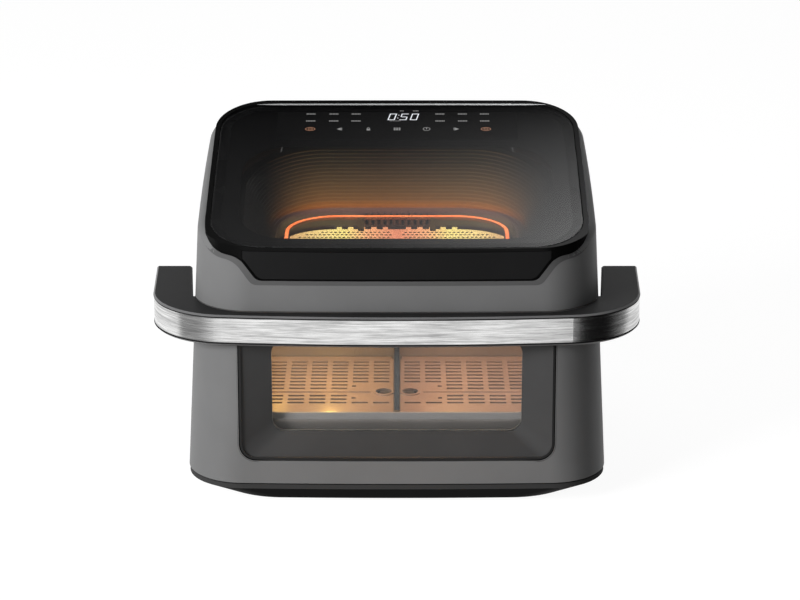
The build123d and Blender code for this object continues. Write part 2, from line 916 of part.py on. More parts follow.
def make_divider_guide():
    """Channel on the pot's back wall and a clip under its front rim, both with a stop below."""
    foot = plate_top + divider_foot_gap - fit_gap
    rear = pot_inside(foot)[2]
    channel = block(-guide_half, guide_half, rear - guide_depth, pot_rear, foot - 2, divider_top)
    slot_half = guide_half - guide_wall
    channel = channel - block(-slot_half, slot_half, 0, pot_rear, foot, divider_top + 1)
    low = pot_rim - clip_height
    front = pot_inside(low)[1]
    clip = block(-guide_half, guide_half, pot_front, front + clip_depth, low, divider_top)
    clip = clip - block(-slot_half, slot_half, pot_front, 0, low + 2, divider_top + 1)
    return [channel & pot_room(), clip & pot_room()]


# Crisper plates
def plate_sheet(inset=0.0):
    """Plan of the right-hand plate, drawn in by inset."""
    half, front, rear = pot_inside(plate_top - plate_rim, plate_edge_gap + inset)
    whole = Pos(0, (front + rear) / 2) * RectangleRounded(2 * half, rear - front, plate_corner - inset)
    inner = plate_inner + inset
    side = Pos(inner + half / 2, (front + rear) / 2) * Rectangle(half, rear - front)
    notch = 2 * (guide_half + seam_gap + inset)
    deep = 2 * (guide_depth + plate_edge_gap + inset)
    return (whole & side) - Pos(0, rear) * Rectangle(notch, deep)


def slot_rows():
    """Depths of the rows of slots, from the back to the front."""
    rows = [slot_first_y - i * slot_pitch_y for i in range(slot_rows_rear)]
    first = rows[-1] - ridge_step * slot_pitch_y
    return rows + [first - i * slot_pitch_y for i in range(slot_rows_front)]


def ridge_y():
    """Depth of the ridge between the two fields of slots."""
    return slot_first_y - (slot_rows_rear - 1 + ridge_step / 2) * slot_pitch_y


def plate_slots():
    """Cutters of the plate's air slots, with a bare patch round the finger hole."""
    slots = []
    low, high = plate_top - plate_thickness - 1, plate_top + 1
    for row in slot_rows():
        near_hole = abs(row - ridge_y()) < (ridge_step + 0.1) * slot_pitch_y
        for column in range(slot_columns):
            if near_hole and column < 2:
                continue
            x = slot_first_x + column * slot_pitch_x
            ends = (x - slot_length / 2, x + slot_length / 2)
            slots.append(block(*ends, row - slot_width / 2, row + slot_width / 2, low, high))
    x = slot_first_x + 1.3 * slot_pitch_x
    for step in (-1, 1):
        y = ridge_y() + step * 0.8 * ridge_step * slot_pitch_y
        ends = (x - slot_width / 2, x + slot_width / 2)
        slots.append(block(*ends, y - slot_width / 2, y + slot_width / 2, low, high))
    return slots


def leg_places():
    """Plan places of the right-hand plate's four legs."""
    near, far = 22.0, pot_half - 24.0
    return [(x, y) for x in (near, far) for y in (pot_front + 21, pot_rear - 21)]


def make_crisper_plate():
    """Right-hand plate: slotted sheet with a turned-down rim, a finger hole and four legs."""
    slab = Pos(0, 0, plate_top - plate_thickness) * extrude(plate_sheet(), plate_thickness)
    rim = Pos(0, 0, plate_top - plate_rim) * extrude(plate_sheet() - plate_sheet(plate_thickness), plate_rim)
    y = ridge_y()
    ring_radius = finger_hole_radius + finger_ring
    ring = rod(finger_hole_x, y, plate_top - 1, ring_radius, 1 + ridge_height)
    start = finger_hole_x + ring_radius + ridge_width
    end = slot_first_x + (slot_columns - 0.5) * slot_pitch_x
    ridge = block(start, end, y - ridge_width / 2, y + ridge_width / 2, plate_top - 1, plate_top + ridge_height)
    keep = Pos(0, 0, plate_top - 2) * extrude(plate_sheet(), 4)
    legs = [plate_leg(x, y) for x, y in leg_places()]
    plate = slab + rim + ((ring + ridge) & keep) + legs
    hole = rod(finger_hole_x, y, plate_top - plate_rim, finger_hole_radius, 2 * plate_rim)
    return plate - plate_slots() - hole


def plate_leg(x, y):
    """A bent-down strip that holds a plate off the pot's floor."""
    low = pot_floor + pot_wall + fit_gap + cap_floor
    wide, deep = leg_width / 2, plate_thickness / 2
    return block(x - wide, x + wide, y - deep, y + deep, low, plate_top - 0.5)


def make_crisper_feet():
    """Silicone caps on the right-hand plate's legs."""
    caps = []
    low = pot_floor + pot_wall + fit_gap
    wide, deep = leg_width / 2 + 1, plate_thickness / 2 + 1.2
    for x, y in leg_places():
        cap = block(x - wide, x + wide, y - deep, y + deep, low, low + 8)
        caps.append(cap - plate_leg(x, y))
    return caps


# Divider
def divider_sheet(inset, half):
    """The divider's outline drawn in at the back, below and in front."""
    low = plate_top + divider_foot_gap + inset
    gap = 2 * fit_gap + inset
    rear_low = pot_inside(low, gap)[2]
    rear_high = pot_inside(divider_top, gap)[2]
    front = pot_inside(pot_rim - clip_height)[1] + clip_depth + gap
    points = [(front, low), (rear_low, low), (rear_high, divider_top), (front, divider_top), (front, low)]
    return extrude(Plane.YZ * make_face(Polyline(*points).edges()), half, both=True)


def divider_hook(grow=0.0):
    """The tab of the divider that hangs over the pot's front clip."""
    low = pot_rim - clip_height + 2 + fit_gap
    front = pot_inside(low, 2 * fit_gap)[1]
    half = divider_thickness / 2 + grow
    return block(-half, half, front, front + 4 * clip_depth, low - grow, divider_top)


def make_divider_panel():
    """Flat metal wall that parts the drawer into two zones."""
    return divider_sheet(2.0, divider_thickness / 2) + divider_hook()


def make_divider_seal():
    """Silicone edge round the divider's back, bottom and front."""
    edge = divider_sheet(0.0, divider_seal / 2) - divider_sheet(divider_seal_width, divider_seal)
    return edge - divider_sheet(2.0, divider_thickness / 2) - divider_hook(0.0) - seal_relief()


def seal_relief():
    """Room over the front clip that the seal leaves free."""
    low = pot_rim - clip_height + 2
    return block(-divider_seal, divider_seal, pot_front, pot_front + 4 * clip_depth, low - 3, pot_rim)


# Cavity
def make_cavity_liner():
    """Sheet-metal tunnel for the pot: floor, two sides and back."""
    top = ceiling_z - fit_gap
    outer = block(-liner_half, liner_half, -liner_rear + 4, liner_rear, liner_floor, top)
    inner = liner_half - liner_wall
    room = block(-inner, inner, -liner_rear, liner_rear - liner_wall, liner_floor + liner_wall, top + 1)
    return outer - room


def make_drawer_rails():
    """Two plastic rails on the cavity's floor."""
    half = runner_width / 2 + 1
    low = liner_floor + liner_wall
    rail = block(runner_x - half, runner_x + half, -liner_rear + 5, liner_rear - 14, low, liner_floor + rail_height)
    return [rail, mirrored(rail)]


def make_cavity_ceiling():
    """Plate over the cavity with the heater's opening and holes for probe and lamp."""
    low, high = ceiling_z, ceiling_z + ceiling_thickness
    ahead = body_solid(low, high, shell_wall + 2 * fit_gap) & ahead_of_seam(1.0)
    behind = body_solid(low, high, 2 * shell_wall + fit_gap)
    plate = (ahead + behind) & block(-big, big, -big, liner_rear, 0, big)
    hole = Pos(0, 0, low - 1) * extrude(Pos(0, 0, -collar_bottom()) * collar_section(0.5), 4)
    probe = rod(probe_x, probe_y, low - 1, probe_radius + fit_gap, 4)
    lamp = rod(-probe_x, probe_y, low - 1, lamp_radius + fit_gap, 4)
    return plate - hole - probe - lamp


# Heater and reflector
def well_section(part, grow):
    """Closed outline of the reflector: part 0 is the collar's edge, part 1 the top."""
    half = heater_half + collar_margin
    half = half + part * (well_half - half) + grow
    front = heater_front - collar_margin
    front = front + part * (well_front - front)
    rear = heater_rear + collar_margin
    rear = rear + part * (well_rear - rear)
    front_z = collar_front_z + part * (well_front_z - collar_front_z)
    rear_z = collar_rear_z + part * (well_rear_z - collar_rear_z)
    corner = collar_corner + part * (well_corner - collar_corner) + grow
    middle = ((front + rear) / 2, (front_z + rear_z) / 2)
    slope = atan2(rear_z - front_z, rear - front)
    plane = Plane(origin=(0, *middle), x_dir=(1, 0, 0), z_dir=(0, -sin(slope), cos(slope)))
    return plane * RectangleRounded(2 * half, hypot(rear - front, rear_z - front_z) + 2 * grow, corner)


def collar_bottom():
    """Level of the reflector's lower edge."""
    return ceiling_z + ceiling_thickness + fit_gap / 2


def collar_section(grow):
    """Flat outline of the collar at its lower edge."""
    front = heater_front - collar_margin - grow
    rear = heater_rear + collar_margin + grow
    outline = RectangleRounded(2 * (heater_half + collar_margin + grow), rear - front, collar_corner + grow)
    return Pos(0, (front + rear) / 2, collar_bottom()) * outline


def reflector_room():
    """The room inside the reflector, with ribs round its sloping part."""
    steps = 2 * rib_count
    sections = [collar_section(0.0), well_section(0.0, 0.0)]
    for i in range(1, steps + 1):
        sections.append(well_section(i / steps, rib_depth * (i % 2)))
    return loft(sections, ruled=True)


def make_reflector():
    """Bright ribbed well that throws the heat down, on a plain collar round the heater."""
    skin = well_wall + rib_depth
    outer = loft([collar_section(well_wall), well_section(0.0, well_wall), well_section(1.0, skin)], ruled=True)
    flange = extrude(well_section(1.0, skin + pane_land), -well_wall)
    room = reflector_room()
    legs = [rod(x, well_front - well_wall, heater_z, heater_radius + 1, heater_leg + 20, "y") for x in heater_legs()]
    return (outer + flange) - room - legs - fan_grille()


def heater_legs():
    """X places of the heater's two cold ends."""
    return [-heater_leg_x, heater_leg_x]


def fan_grille():
    """Upright slots through the back of the collar for the fan."""
    slots = []
    rear = heater_rear + collar_margin
    for i in range(-5, 6):
        x = i * grille_pitch
        ends = (x - grille_pitch / 4, x + grille_pitch / 4)
        slots.append(block(*ends, rear - 4, rear + 2 * well_wall, guard_z + 3, collar_rear_z - 6))
    return slots


def make_inner_top_glass():
    """Inner pane that lies on the reflector's upper edge."""
    return extrude(well_section(1.0, well_wall + rib_depth + pane_land - 1), inner_pane_thickness)


def heater_tube(radius):
    """The heater's loop as a round bar."""
    end = heater_front - heater_leg
    leg, side = heater_leg_x, heater_half
    points = [
        (-leg, end, heater_z),
        (-leg, heater_front, heater_z),
        (-side, heater_front, heater_z),
        (-side, heater_rear, heater_z),
        (side, heater_rear, heater_z),
        (side, heater_front, heater_z),
        (leg, heater_front, heater_z),
        (leg, end, heater_z),
    ]
    small = 2.5 * heater_radius
    turns = [small] + 4 * [heater_corner] + [small]
    path = FilletPolyline(*points, radius=turns)
    profile = Plane(origin=points[0], z_dir=(0, 1, 0)) * Circle(radius)
    return sweep(profile, path=path)


def make_heater_element():
    """Tubular heater: one loop with two cold ends at the front."""
    return heater_tube(heater_radius)


def make_heater_terminals():
    """Ceramic ends and tabs of the heater."""
    ends = []
    start = heater_front - heater_leg
    for x in heater_legs():
        bead = rod(x, start - 6, heater_z, heater_radius + 0.6, 6, "y")
        tab = block(x - 2.4, x + 2.4, start - 12, start - 6, heater_z - 0.4, heater_z + 0.4)
        ends.append(bead + tab)
    return ends


def make_heater_clips():
    """Saddles that stand on the guard and hold the heater."""
    clips = []
    top = guard_z + guard_thickness
    places = [(-heater_half, heater_mid), (heater_half, heater_mid)]
    places += [(-heater_half / 3, heater_rear), (heater_half / 3, heater_rear)]
    tube = heater_tube(heater_radius + joint_gap)
    for x, y in places:
        clips.append(block(x - 3, x + 3, y - 3, y + 3, top, heater_z) - tube)
    return clips


def make_heater_guard():
    """Perforated plate under the heater with a toothed back edge and a rib below."""
    half = heater_half + guard_margin
    front, rear = heater_front - guard_margin, heater_rear + guard_margin
    outline = RectangleRounded(2 * half, rear - front, heater_corner + guard_margin / 2)
    plate = Pos(0, (front + rear) / 2, guard_z) * extrude(outline, guard_thickness)
    reach = heater_rear + collar_margin - fit_gap
    for i in range(tooth_count):
        x = (i - (tooth_count - 1) / 2) * guard_pitch
        ends = (x - tooth_width / 2, x + tooth_width / 2)
        plate = plate + block(*ends, rear - 2, reach, guard_z, guard_z + guard_thickness)
    rib = block(-guard_rib / 2, guard_rib / 2, front + 4, rear - 4, guard_z - guard_rib, guard_z + guard_thickness)
    return plate - guard_slots() + rib


def guard_slots():
    """Cutters of the guard's air slots."""
    slots = []
    low, high = guard_z - 1, guard_z + guard_thickness + 1
    reach = heater_half - guard_hole
    row_pitch = 2 * guard_hole
    rows = int((heater_rear - heater_front - guard_hole) / row_pitch)
    for row in range(rows + 1):
        y = heater_mid + (row - rows / 2) * row_pitch
        half = guard_hole / 2
        side = heater_side(y)
        count = int((side - guard_rib) / (2 * guard_pitch))
        for column in range(count):
            x0 = guard_rib / 2 + half + column * 2 * guard_pitch
            x1 = min(x0 + 2 * guard_pitch - guard_hole, reach)
            slots.append(block(x0, x1, y - half, y + half, low, high))
            slots.append(block(-x1, -x0, y - half, y + half, low, high))
    return slots


def heater_side(y):
    """Half width of the heater's loop at a depth y."""
    edge = (heater_rear - heater_front) / 2 - heater_corner
    past = max(abs(y - heater_mid) - edge, 0.0)
    return heater_half - heater_corner + sqrt(max(heater_corner**2 - past**2, 0.0))


# Fan and motor
def make_fan_housing():
    """Round fan chamber with a wide mouth against the collar's grille."""
    wall = fan_can_wall
    front = fan_front - 6
    mouth = 6 * grille_pitch
    low, high = collar_bottom() + 0.5, collar_rear_z - 4
    face = heater_rear + collar_margin + well_wall + fit_gap
    drum = rod(0, front, fan_z, fan_can_radius, can_rear + wall - front, "y")
    throat = block(-mouth, mouth, face, can_rear + wall, low, high)
    hollow = rod(0, front + wall, fan_z, fan_can_radius - wall, can_rear - front - wall, "y")
    inside = block(-mouth + wall, mouth - wall, face - 1, can_rear, low + wall, high - wall)
    return drum + throat - hollow - inside - rod(0, can_rear - 1, fan_z, shaft_radius + 1, 4, "y")


def fan_wheel(radius, front, depth, blades, hub):
    """A wheel of radial blades on a hub, with a disc behind."""
    disc = rod(0, front + depth - 1.2, fan_z, radius - 1, 1.2, "y")
    wheel = disc + rod(0, front, fan_z, hub, depth, "y")
    blade = block(hub - 1, radius, -0.6, 0.6, -depth, -0.6)
    for i in range(blades):
        turned = Rot(0, 0, i * 360 / blades) * blade
        wheel = wheel + Pos(0, front, fan_z) * Rot(90, 0, 0) * turned
    return wheel - rod(0, front - 1, fan_z, shaft_radius, depth + 2, "y")


def make_fan_impeller():
    """Hot-air fan wheel."""
    return fan_wheel(fan_radius, fan_front, fan_depth, fan_blades, 3 * shaft_radius)


def make_cooling_fan():
    """Small wheel that cools the motor."""
    return fan_wheel(cooling_radius, cooling_front, cooling_depth, cooling_blades, 2 * shaft_radius)


def make_motor_shaft():
    """Steel shaft through both wheels and the motor."""
    return rod(0, fan_front - 2, fan_z, shaft_radius, motor_rear + 1 - fan_front, "y")


def make_fan_motor():
    """Motor body with a bore for the shaft."""
    body = rod(0, motor_front, fan_z, motor_radius, motor_depth, "y")
    front_edge = body.faces().sort_by(Axis.Y)[0].edges()
    rear_edge = body.faces().sort_by(Axis.Y)[-1].edges()
    body = chamfer(front_edge + rear_edge, 2.0)
    return body - rod(0, motor_front - 1, fan_z, shaft_radius + shaft_fit, motor_depth + 2, "y")


def make_motor_bracket():
    """Ring round the motor on three posts from the fan chamber."""
    ring_y = motor_front + motor_depth / 3
    reach = motor_radius + 12
    ring = rod(0, ring_y, fan_z, reach + 4, 2, "y")
    start = can_rear + fan_can_wall
    for i in range(3):
        turn = radians(30 + 120 * i)
        post = rod(reach * cos(turn), start, fan_z + reach * sin(turn), 3, ring_y + 1 - start, "y")
        ring = ring + post
    return ring - rod(0, ring_y - 1, fan_z, motor_radius + joint_gap, 4, "y")


# Electrics
def make_power_board():
    """Power board behind the cavity, on four standoffs."""
    y0 = liner_rear + standoff
    board = block(board_left, board_right, y0, y0 + board_thickness, board_low, board_high)
    for x in (board_left + 6, board_right - 6):
        for z in (board_low + 6, board_high - 6):
            board = board + rod(x, liner_rear, z, 3, standoff, "y")
    return board


def make_power_components():
    """Transformer, capacitors, relay and heat sink of the power board."""
    y = liner_rear + standoff + board_thickness
    left, low = board_left, board_low
    pieces = [block(left + 10, left + 46, y, y + 22, low + 12, low + 42)]
    pieces += [rod(left + 62 + 18 * i, y, low + 26, 7, 20, "y") for i in range(2)]
    pieces.append(block(left + 12, left + 40, y, y + 16, low + 60, low + 80))
    sink = block(left + 60, left + 110, y, y + 4, low + 56, low + 84)
    for i in range(6):
        z = low + 56 + i * 5.2
        sink = sink + block(left + 60, left + 110, y, y + 18, z, z + 2)
    pieces.append(sink)
    return pieces


def make_touch_film():
    """Touch sensor on the underside of the glass."""
    return display_slab(0.0, glass_thickness, film_thickness)


def display_slab(inset, drop, depth):
    """A flat piece under the display field of the glass."""
    long = display_rear - display_front - 2 * inset
    middle = (display_rear + display_front) / 2
    outline = Pos(0, middle) * Rectangle(2 * (display_half - inset), long)
    return on_top(outline, drop, depth)


def make_display_module():
    """Light guide that the symbols shine through."""
    return display_slab(4.0, glass_thickness + film_thickness, module_thickness)


def make_display_board():
    """Control board under the light guide."""
    drop = glass_thickness + film_thickness + module_thickness
    board = display_slab(1.0, drop, board_thickness)
    middle = (display_rear + display_front) / 2
    for x in (-60, 0, 60):
        chip = Pos(x, middle) * Rectangle(14, 14)
        board = board + on_top(chip, drop + board_thickness - 0.5, 2.5)
    return board


def make_temperature_probe():
    """Sheathed sensor that reaches through the ceiling."""
    base = ceiling_z + ceiling_thickness
    rod_part = rod(probe_x, probe_y, ceiling_z - 6, probe_radius, 8 + ceiling_thickness)
    return rod_part + rod(probe_x, probe_y, base, 3 * probe_radius, 3)


def make_thermal_cutout():
    """Button-shaped safety switch on the ceiling."""
    base = ceiling_z + ceiling_thickness
    button = rod(-probe_x, -1.5 * probe_y, base, 8, 8)
    return button + block(-probe_x - 12, -probe_x + 12, -1.5 * probe_y - 3, -1.5 * probe_y + 3, base, base + 1)


def make_lamp_lens():
    """Glass lens of the cavity lamp, flush in the ceiling."""
    return rod(-probe_x, probe_y, ceiling_z - 1.5, lamp_radius, 1.5 + ceiling_thickness)


def make_lamp_holder():
    """Lamp holder above the lens."""
    base = ceiling_z + ceiling_thickness
    return rod(-probe_x, probe_y, base, lamp_radius + 2, 4) + rod(-probe_x, probe_y, base + 3, lamp_radius - 4, 15)


def make_drawer_sensor():
    """Contactless switch beside the cavity that senses the drawer's magnet."""
    low = bracket_z + 20
    return block(liner_half, liner_half + 8, seam_y + 5, seam_y + 17, low, low + 12)


def front_inner_y(x, z):
    """Depth of the drawer front's inner face at a point."""
    rise = z - body_bottom
    half = body_half - side_bow - rise * tan(side_draft) - corner_radius
    return body_front + rise * tan(front_draft) + shell_wall + front_bow * (x / half) ** 2


def make_drawer_screws():
    """Screws of the back plate and, inside the front, those of the handle."""
    heads = []
    for x in (-screw_x, screw_x):
        for z in (surround_bottom + 10, surround_top - 6):
            heads.append(rod(x, seam_y, z, screw_head_radius, screw_head_height, "y"))
    room = body_solid(body_bottom + shell_wall, handle_top - shell_wall, shell_wall)
    for x in (-window_half, -window_half / 3, window_half / 3, window_half):
        z = (surround_top + handle_top) / 2
        y = front_inner_y(x, z)
        heads.append(rod(x, y - 5, z, screw_head_radius, 5 + screw_head_height, "y") & room)
    return heads


# Write the nodes
os.makedirs("parts", exist_ok=True)
plate_right = make_crisper_plate()
caps_right = make_crisper_feet()

save("base_tray", make_base_tray())
save("feet", *make_feet())
save("base_screws", *make_base_screws())
save("lower_housing", make_lower_housing())
save("upper_housing", make_upper_housing())
save("rear_cover", make_rear_cover())
save("cover_screws", *make_cover_screws())
save("rear_spacers", *make_rear_spacers())
save("cable_gland", make_cable_gland())
save("top_frame", make_top_frame())
save("fascia_plate", make_fascia_plate())
save("top_glass", make_top_glass())
save("glass_gasket", make_glass_gasket())
save("touch_film", make_touch_film())
save("display_module", make_display_module())
save("display_board", make_display_board())

save("inner_top_glass", make_inner_top_glass())
save("reflector", make_reflector())
save("heater_element", make_heater_element())
save("heater_terminals", *make_heater_terminals())
save("heater_clips", *make_heater_clips())
save("heater_guard", make_heater_guard())
save("cavity_ceiling", make_cavity_ceiling())
save("cavity_liner", make_cavity_liner())
save("drawer_rails", *make_drawer_rails())
save("temperature_probe", make_temperature_probe())
save("thermal_cutout", make_thermal_cutout())
save("lamp_holder", make_lamp_holder())
save("lamp_lens", make_lamp_lens())

save("fan_housing", make_fan_housing())
save("fan_impeller", make_fan_impeller())
save("motor_shaft", make_motor_shaft())
save("cooling_fan", make_cooling_fan())
save("fan_motor", make_fan_motor())
save("motor_bracket", make_motor_bracket())
save("power_board", make_power_board())
save("power_components", *make_power_components())
save("drawer_sensor", make_drawer_sensor())

save("drawer_front", make_drawer_front())
save("drawer_back_plate", make_drawer_back_plate())
save("drawer_magnet", make_drawer_magnet())
save("drawer_screws", *make_drawer_screws())
save("window_surround", make_window_surround())
save("window_outer_glass", make_window_outer_glass())
save("window_retainer", make_window_retainer())
save("inner_window_seal", make_inner_window_seal())
save("inner_window_glass", make_inner_window_glass())
save("cooking_pot", make_cooking_pot())
save("pot_brackets", *make_pot_brackets())
save("pot_runners", *make_pot_runners())
save("divider_guide", *make_divider_guide())
save("handle_core", make_handle_core())
save("handle_band", make_handle_band())
save("handle_underside", make_handle_underside())

save("crisper_right", plate_right)
save("crisper_left", mirrored(plate_right))
save("crisper_feet_right", *caps_right)
save("crisper_feet_left", *[mirrored(cap) for cap in caps_right])
save("divider_panel", make_divider_panel())
save("divider_seal", make_divider_seal())
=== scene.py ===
import bpy
import bmesh
from math import cos, pi, radians, sin, tan
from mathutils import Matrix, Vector
from mathutils.bvhtree import BVHTree


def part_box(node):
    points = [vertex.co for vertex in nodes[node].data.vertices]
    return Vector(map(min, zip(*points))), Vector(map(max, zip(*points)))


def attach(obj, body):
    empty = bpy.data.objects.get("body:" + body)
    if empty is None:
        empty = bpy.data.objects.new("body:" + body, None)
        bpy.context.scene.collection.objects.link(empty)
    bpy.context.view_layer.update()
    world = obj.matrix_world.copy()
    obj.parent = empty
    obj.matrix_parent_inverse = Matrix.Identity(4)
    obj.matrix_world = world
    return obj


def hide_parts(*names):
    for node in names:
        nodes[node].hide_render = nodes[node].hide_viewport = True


# Looks, thin printed pieces and studio of an air fryer oven.
# Lights, cards and glows are placed in metres, the thin pieces in millimetres.
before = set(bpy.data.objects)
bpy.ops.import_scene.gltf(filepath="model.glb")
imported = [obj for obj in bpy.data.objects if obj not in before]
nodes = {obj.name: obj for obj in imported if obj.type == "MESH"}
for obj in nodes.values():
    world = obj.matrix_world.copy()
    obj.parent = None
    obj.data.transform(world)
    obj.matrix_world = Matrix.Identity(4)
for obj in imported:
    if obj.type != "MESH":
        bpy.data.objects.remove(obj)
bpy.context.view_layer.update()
scene = bpy.context.scene
MM = 0.001

# Camera
ELEVATION = radians(18.5)
camera_data = bpy.data.cameras.new("camera")
camera_data.sensor_fit = "HORIZONTAL"
camera_data.sensor_width = 36.0
camera_data.lens = 117.0
camera_data.clip_start = 0.05
camera = bpy.data.objects.new("camera", camera_data)
camera.location = (0.003, -2.42468, 0.97070)
camera.rotation_euler = (pi / 2 - ELEVATION, 0, 0)
scene.collection.objects.link(camera)
scene.camera = camera
scene.view_settings.view_transform = "Standard"

# Every material made here, by name
looks = {}


# Shader helpers
def new_material(name, base, rough, metal=0.0, spec=0.5):
    """A material with a Principled shader, kept under its name."""
    mat = bpy.data.materials.new(name)
    mat.use_nodes = True
    shader = principled(mat)
    shader.inputs["Base Color"].default_value = (*base, 1)
    shader.inputs["Roughness"].default_value = rough
    shader.inputs["Metallic"].default_value = metal
    shader.inputs["Specular IOR Level"].default_value = spec
    looks[name] = mat
    return mat


def principled(mat):
    return mat.node_tree.nodes["Principled BSDF"]


def add(mat, kind, **inputs):
    """A new shader node with its sockets set by name."""
    node = mat.node_tree.nodes.new("ShaderNode" + kind)
    for key, value in inputs.items():
        node.inputs[key.replace("_", " ")].default_value = value
    return node


def connect(mat, source, target):
    mat.node_tree.links.new(source, target)


def feed(mat, source, socket):
    """Lead a value into the Principled shader."""
    connect(mat, source, principled(mat).inputs[socket])


def noise(mat, scale, detail=4.0, stretch=(1, 1, 1), rough=0.55):
    """Noise over the object's coordinates, stretched along its axes."""
    place = add(mat, "TexCoord")
    mapping = add(mat, "Mapping", Scale=stretch)
    texture = add(mat, "TexNoise", Scale=scale, Detail=detail, Roughness=rough)
    connect(mat, place.outputs["Object"], mapping.inputs["Vector"])
    connect(mat, mapping.outputs["Vector"], texture.inputs["Vector"])
    return texture.outputs["Fac"]


def blend_ramp(mat, value, stops):
    """A colour ramp through any number of stops."""
    node = add(mat, "ValToRGB")
    line = node.color_ramp
    while len(line.elements) < len(stops):
        line.elements.new(0.5)
    for element, (place, colour) in zip(line.elements, stops):
        element.position = place
        element.color = (*colour, 1)
    connect(mat, value, node.inputs["Fac"])
    return node.outputs["Color"]


def two_tone(mat, value, low, high, at=(0.3, 0.7)):
    """Turn a noise into a colour between two."""
    return blend_ramp(mat, value, list(zip(at, (low, high))))


def vary_rough(mat, value, low, high):
    """Let the roughness follow a noise."""
    span = add(mat, "MapRange", To_Min=low, To_Max=high)
    connect(mat, value, span.inputs["Value"])
    feed(mat, span.outputs["Result"], "Roughness")


def add_bump(mat, value, strength, distance):
    bump = add(mat, "Bump", Strength=strength, Distance=distance)
    connect(mat, value, bump.inputs["Height"])
    feed(mat, bump.outputs["Normal"], "Normal")


def maths(mat, operation, *values):
    """A maths node fed by sockets or plain numbers."""
    node = add(mat, "Math")
    node.operation = operation
    for target, value in zip(node.inputs, values):
        if isinstance(value, (int, float)):
            target.default_value = value
        else:
            connect(mat, value, target)
    return node.outputs[0]


def fade(mat, value, start, end, kind="SMOOTHSTEP"):
    """One at start, falling or rising to nothing at end."""
    node = add(mat, "MapRange", From_Min=end, From_Max=start)
    node.interpolation_type = kind
    connect(mat, value, node.inputs["Value"])
    return node.outputs["Result"]


def axes(mat):
    """The three object coordinates as sockets."""
    place = add(mat, "TexCoord")
    parts = add(mat, "SeparateXYZ")
    connect(mat, place.outputs["Object"], parts.inputs[0])
    return parts.outputs


def emission(mat, colour, strength):
    """Glow in the colour of a socket, with a strength from a socket or a number."""
    feed(mat, colour, "Emission Color")
    if isinstance(strength, (int, float)):
        principled(mat).inputs["Emission Strength"].default_value = strength
    else:
        feed(mat, strength, "Emission Strength")


def scaled(colour, factor):
    return tuple(c * factor for c in colour)


def grey(value):
    return (value, value, value)


# Kinds of surface
def textured(name, base, rough, metal, spec, grain, bump, spread, patch=14.0):
    """Moulded, painted or sheet surface: broad tone shifts, fine grain, uneven gloss."""
    swing, bump_depth = 0.06, 0.0002
    mat = new_material(name, base, rough, metal, spec)
    broad = noise(mat, patch, 3.0)
    fine = noise(mat, grain, 2.0)
    tone = two_tone(mat, broad, scaled(base, 1 - spread), scaled(base, 1 + spread))
    feed(mat, tone, "Base Color")
    vary_rough(mat, fine, rough - swing, rough + swing)
    add_bump(mat, fine, bump, bump_depth)
    return mat


def brushed(name, low, high, rough, stretch, bump):
    """Brushed metal with short streaks mixed with long ones."""
    long_share, bump_depth = 0.45, 0.0001
    mat = new_material(name, high, rough, 1.0)
    streak = noise(mat, 1.0, 6.0, stretch, 0.62)
    long_streak = noise(mat, 0.35, 3.0, stretch, 0.5)
    mixed = add(mat, "Mix")
    mixed.data_type = "FLOAT"
    mixed.inputs[0].default_value = long_share
    # Inputs 2 and 3 are the two numbers of a mix
    connect(mat, streak, mixed.inputs[2])
    connect(mat, long_streak, mixed.inputs[3])
    feed(mat, two_tone(mat, mixed.outputs["Result"], low, high, (0.36, 0.64)), "Base Color")
    vary_rough(mat, streak, rough - 0.08, rough + 0.10)
    add_bump(mat, streak, bump, bump_depth)


def glass(name, tint, alpha, rough, spec):
    """Clear or smoked glass as a thin see-through gloss, with faint smears."""
    mat = new_material(name, tint, rough, 0.0, spec)
    principled(mat).inputs["Alpha"].default_value = alpha
    swing = 0.01
    smear = noise(mat, 18.0, 3.0, (1, 3, 1))
    vary_rough(mat, smear, rough - swing, rough + swing)


def glow(name, colour, strength, base=(0.02, 0.02, 0.02)):
    """A lit surface with a slightly uneven glow."""
    dimmest = 0.93
    mat = new_material(name, base, 0.4)
    vary_rough(mat, noise(mat, 400.0, 2.0), 0.34, 0.46)
    tone = two_tone(mat, noise(mat, 120.0, 2.0), scaled(colour, dimmest), colour)
    emission(mat, tone, strength)


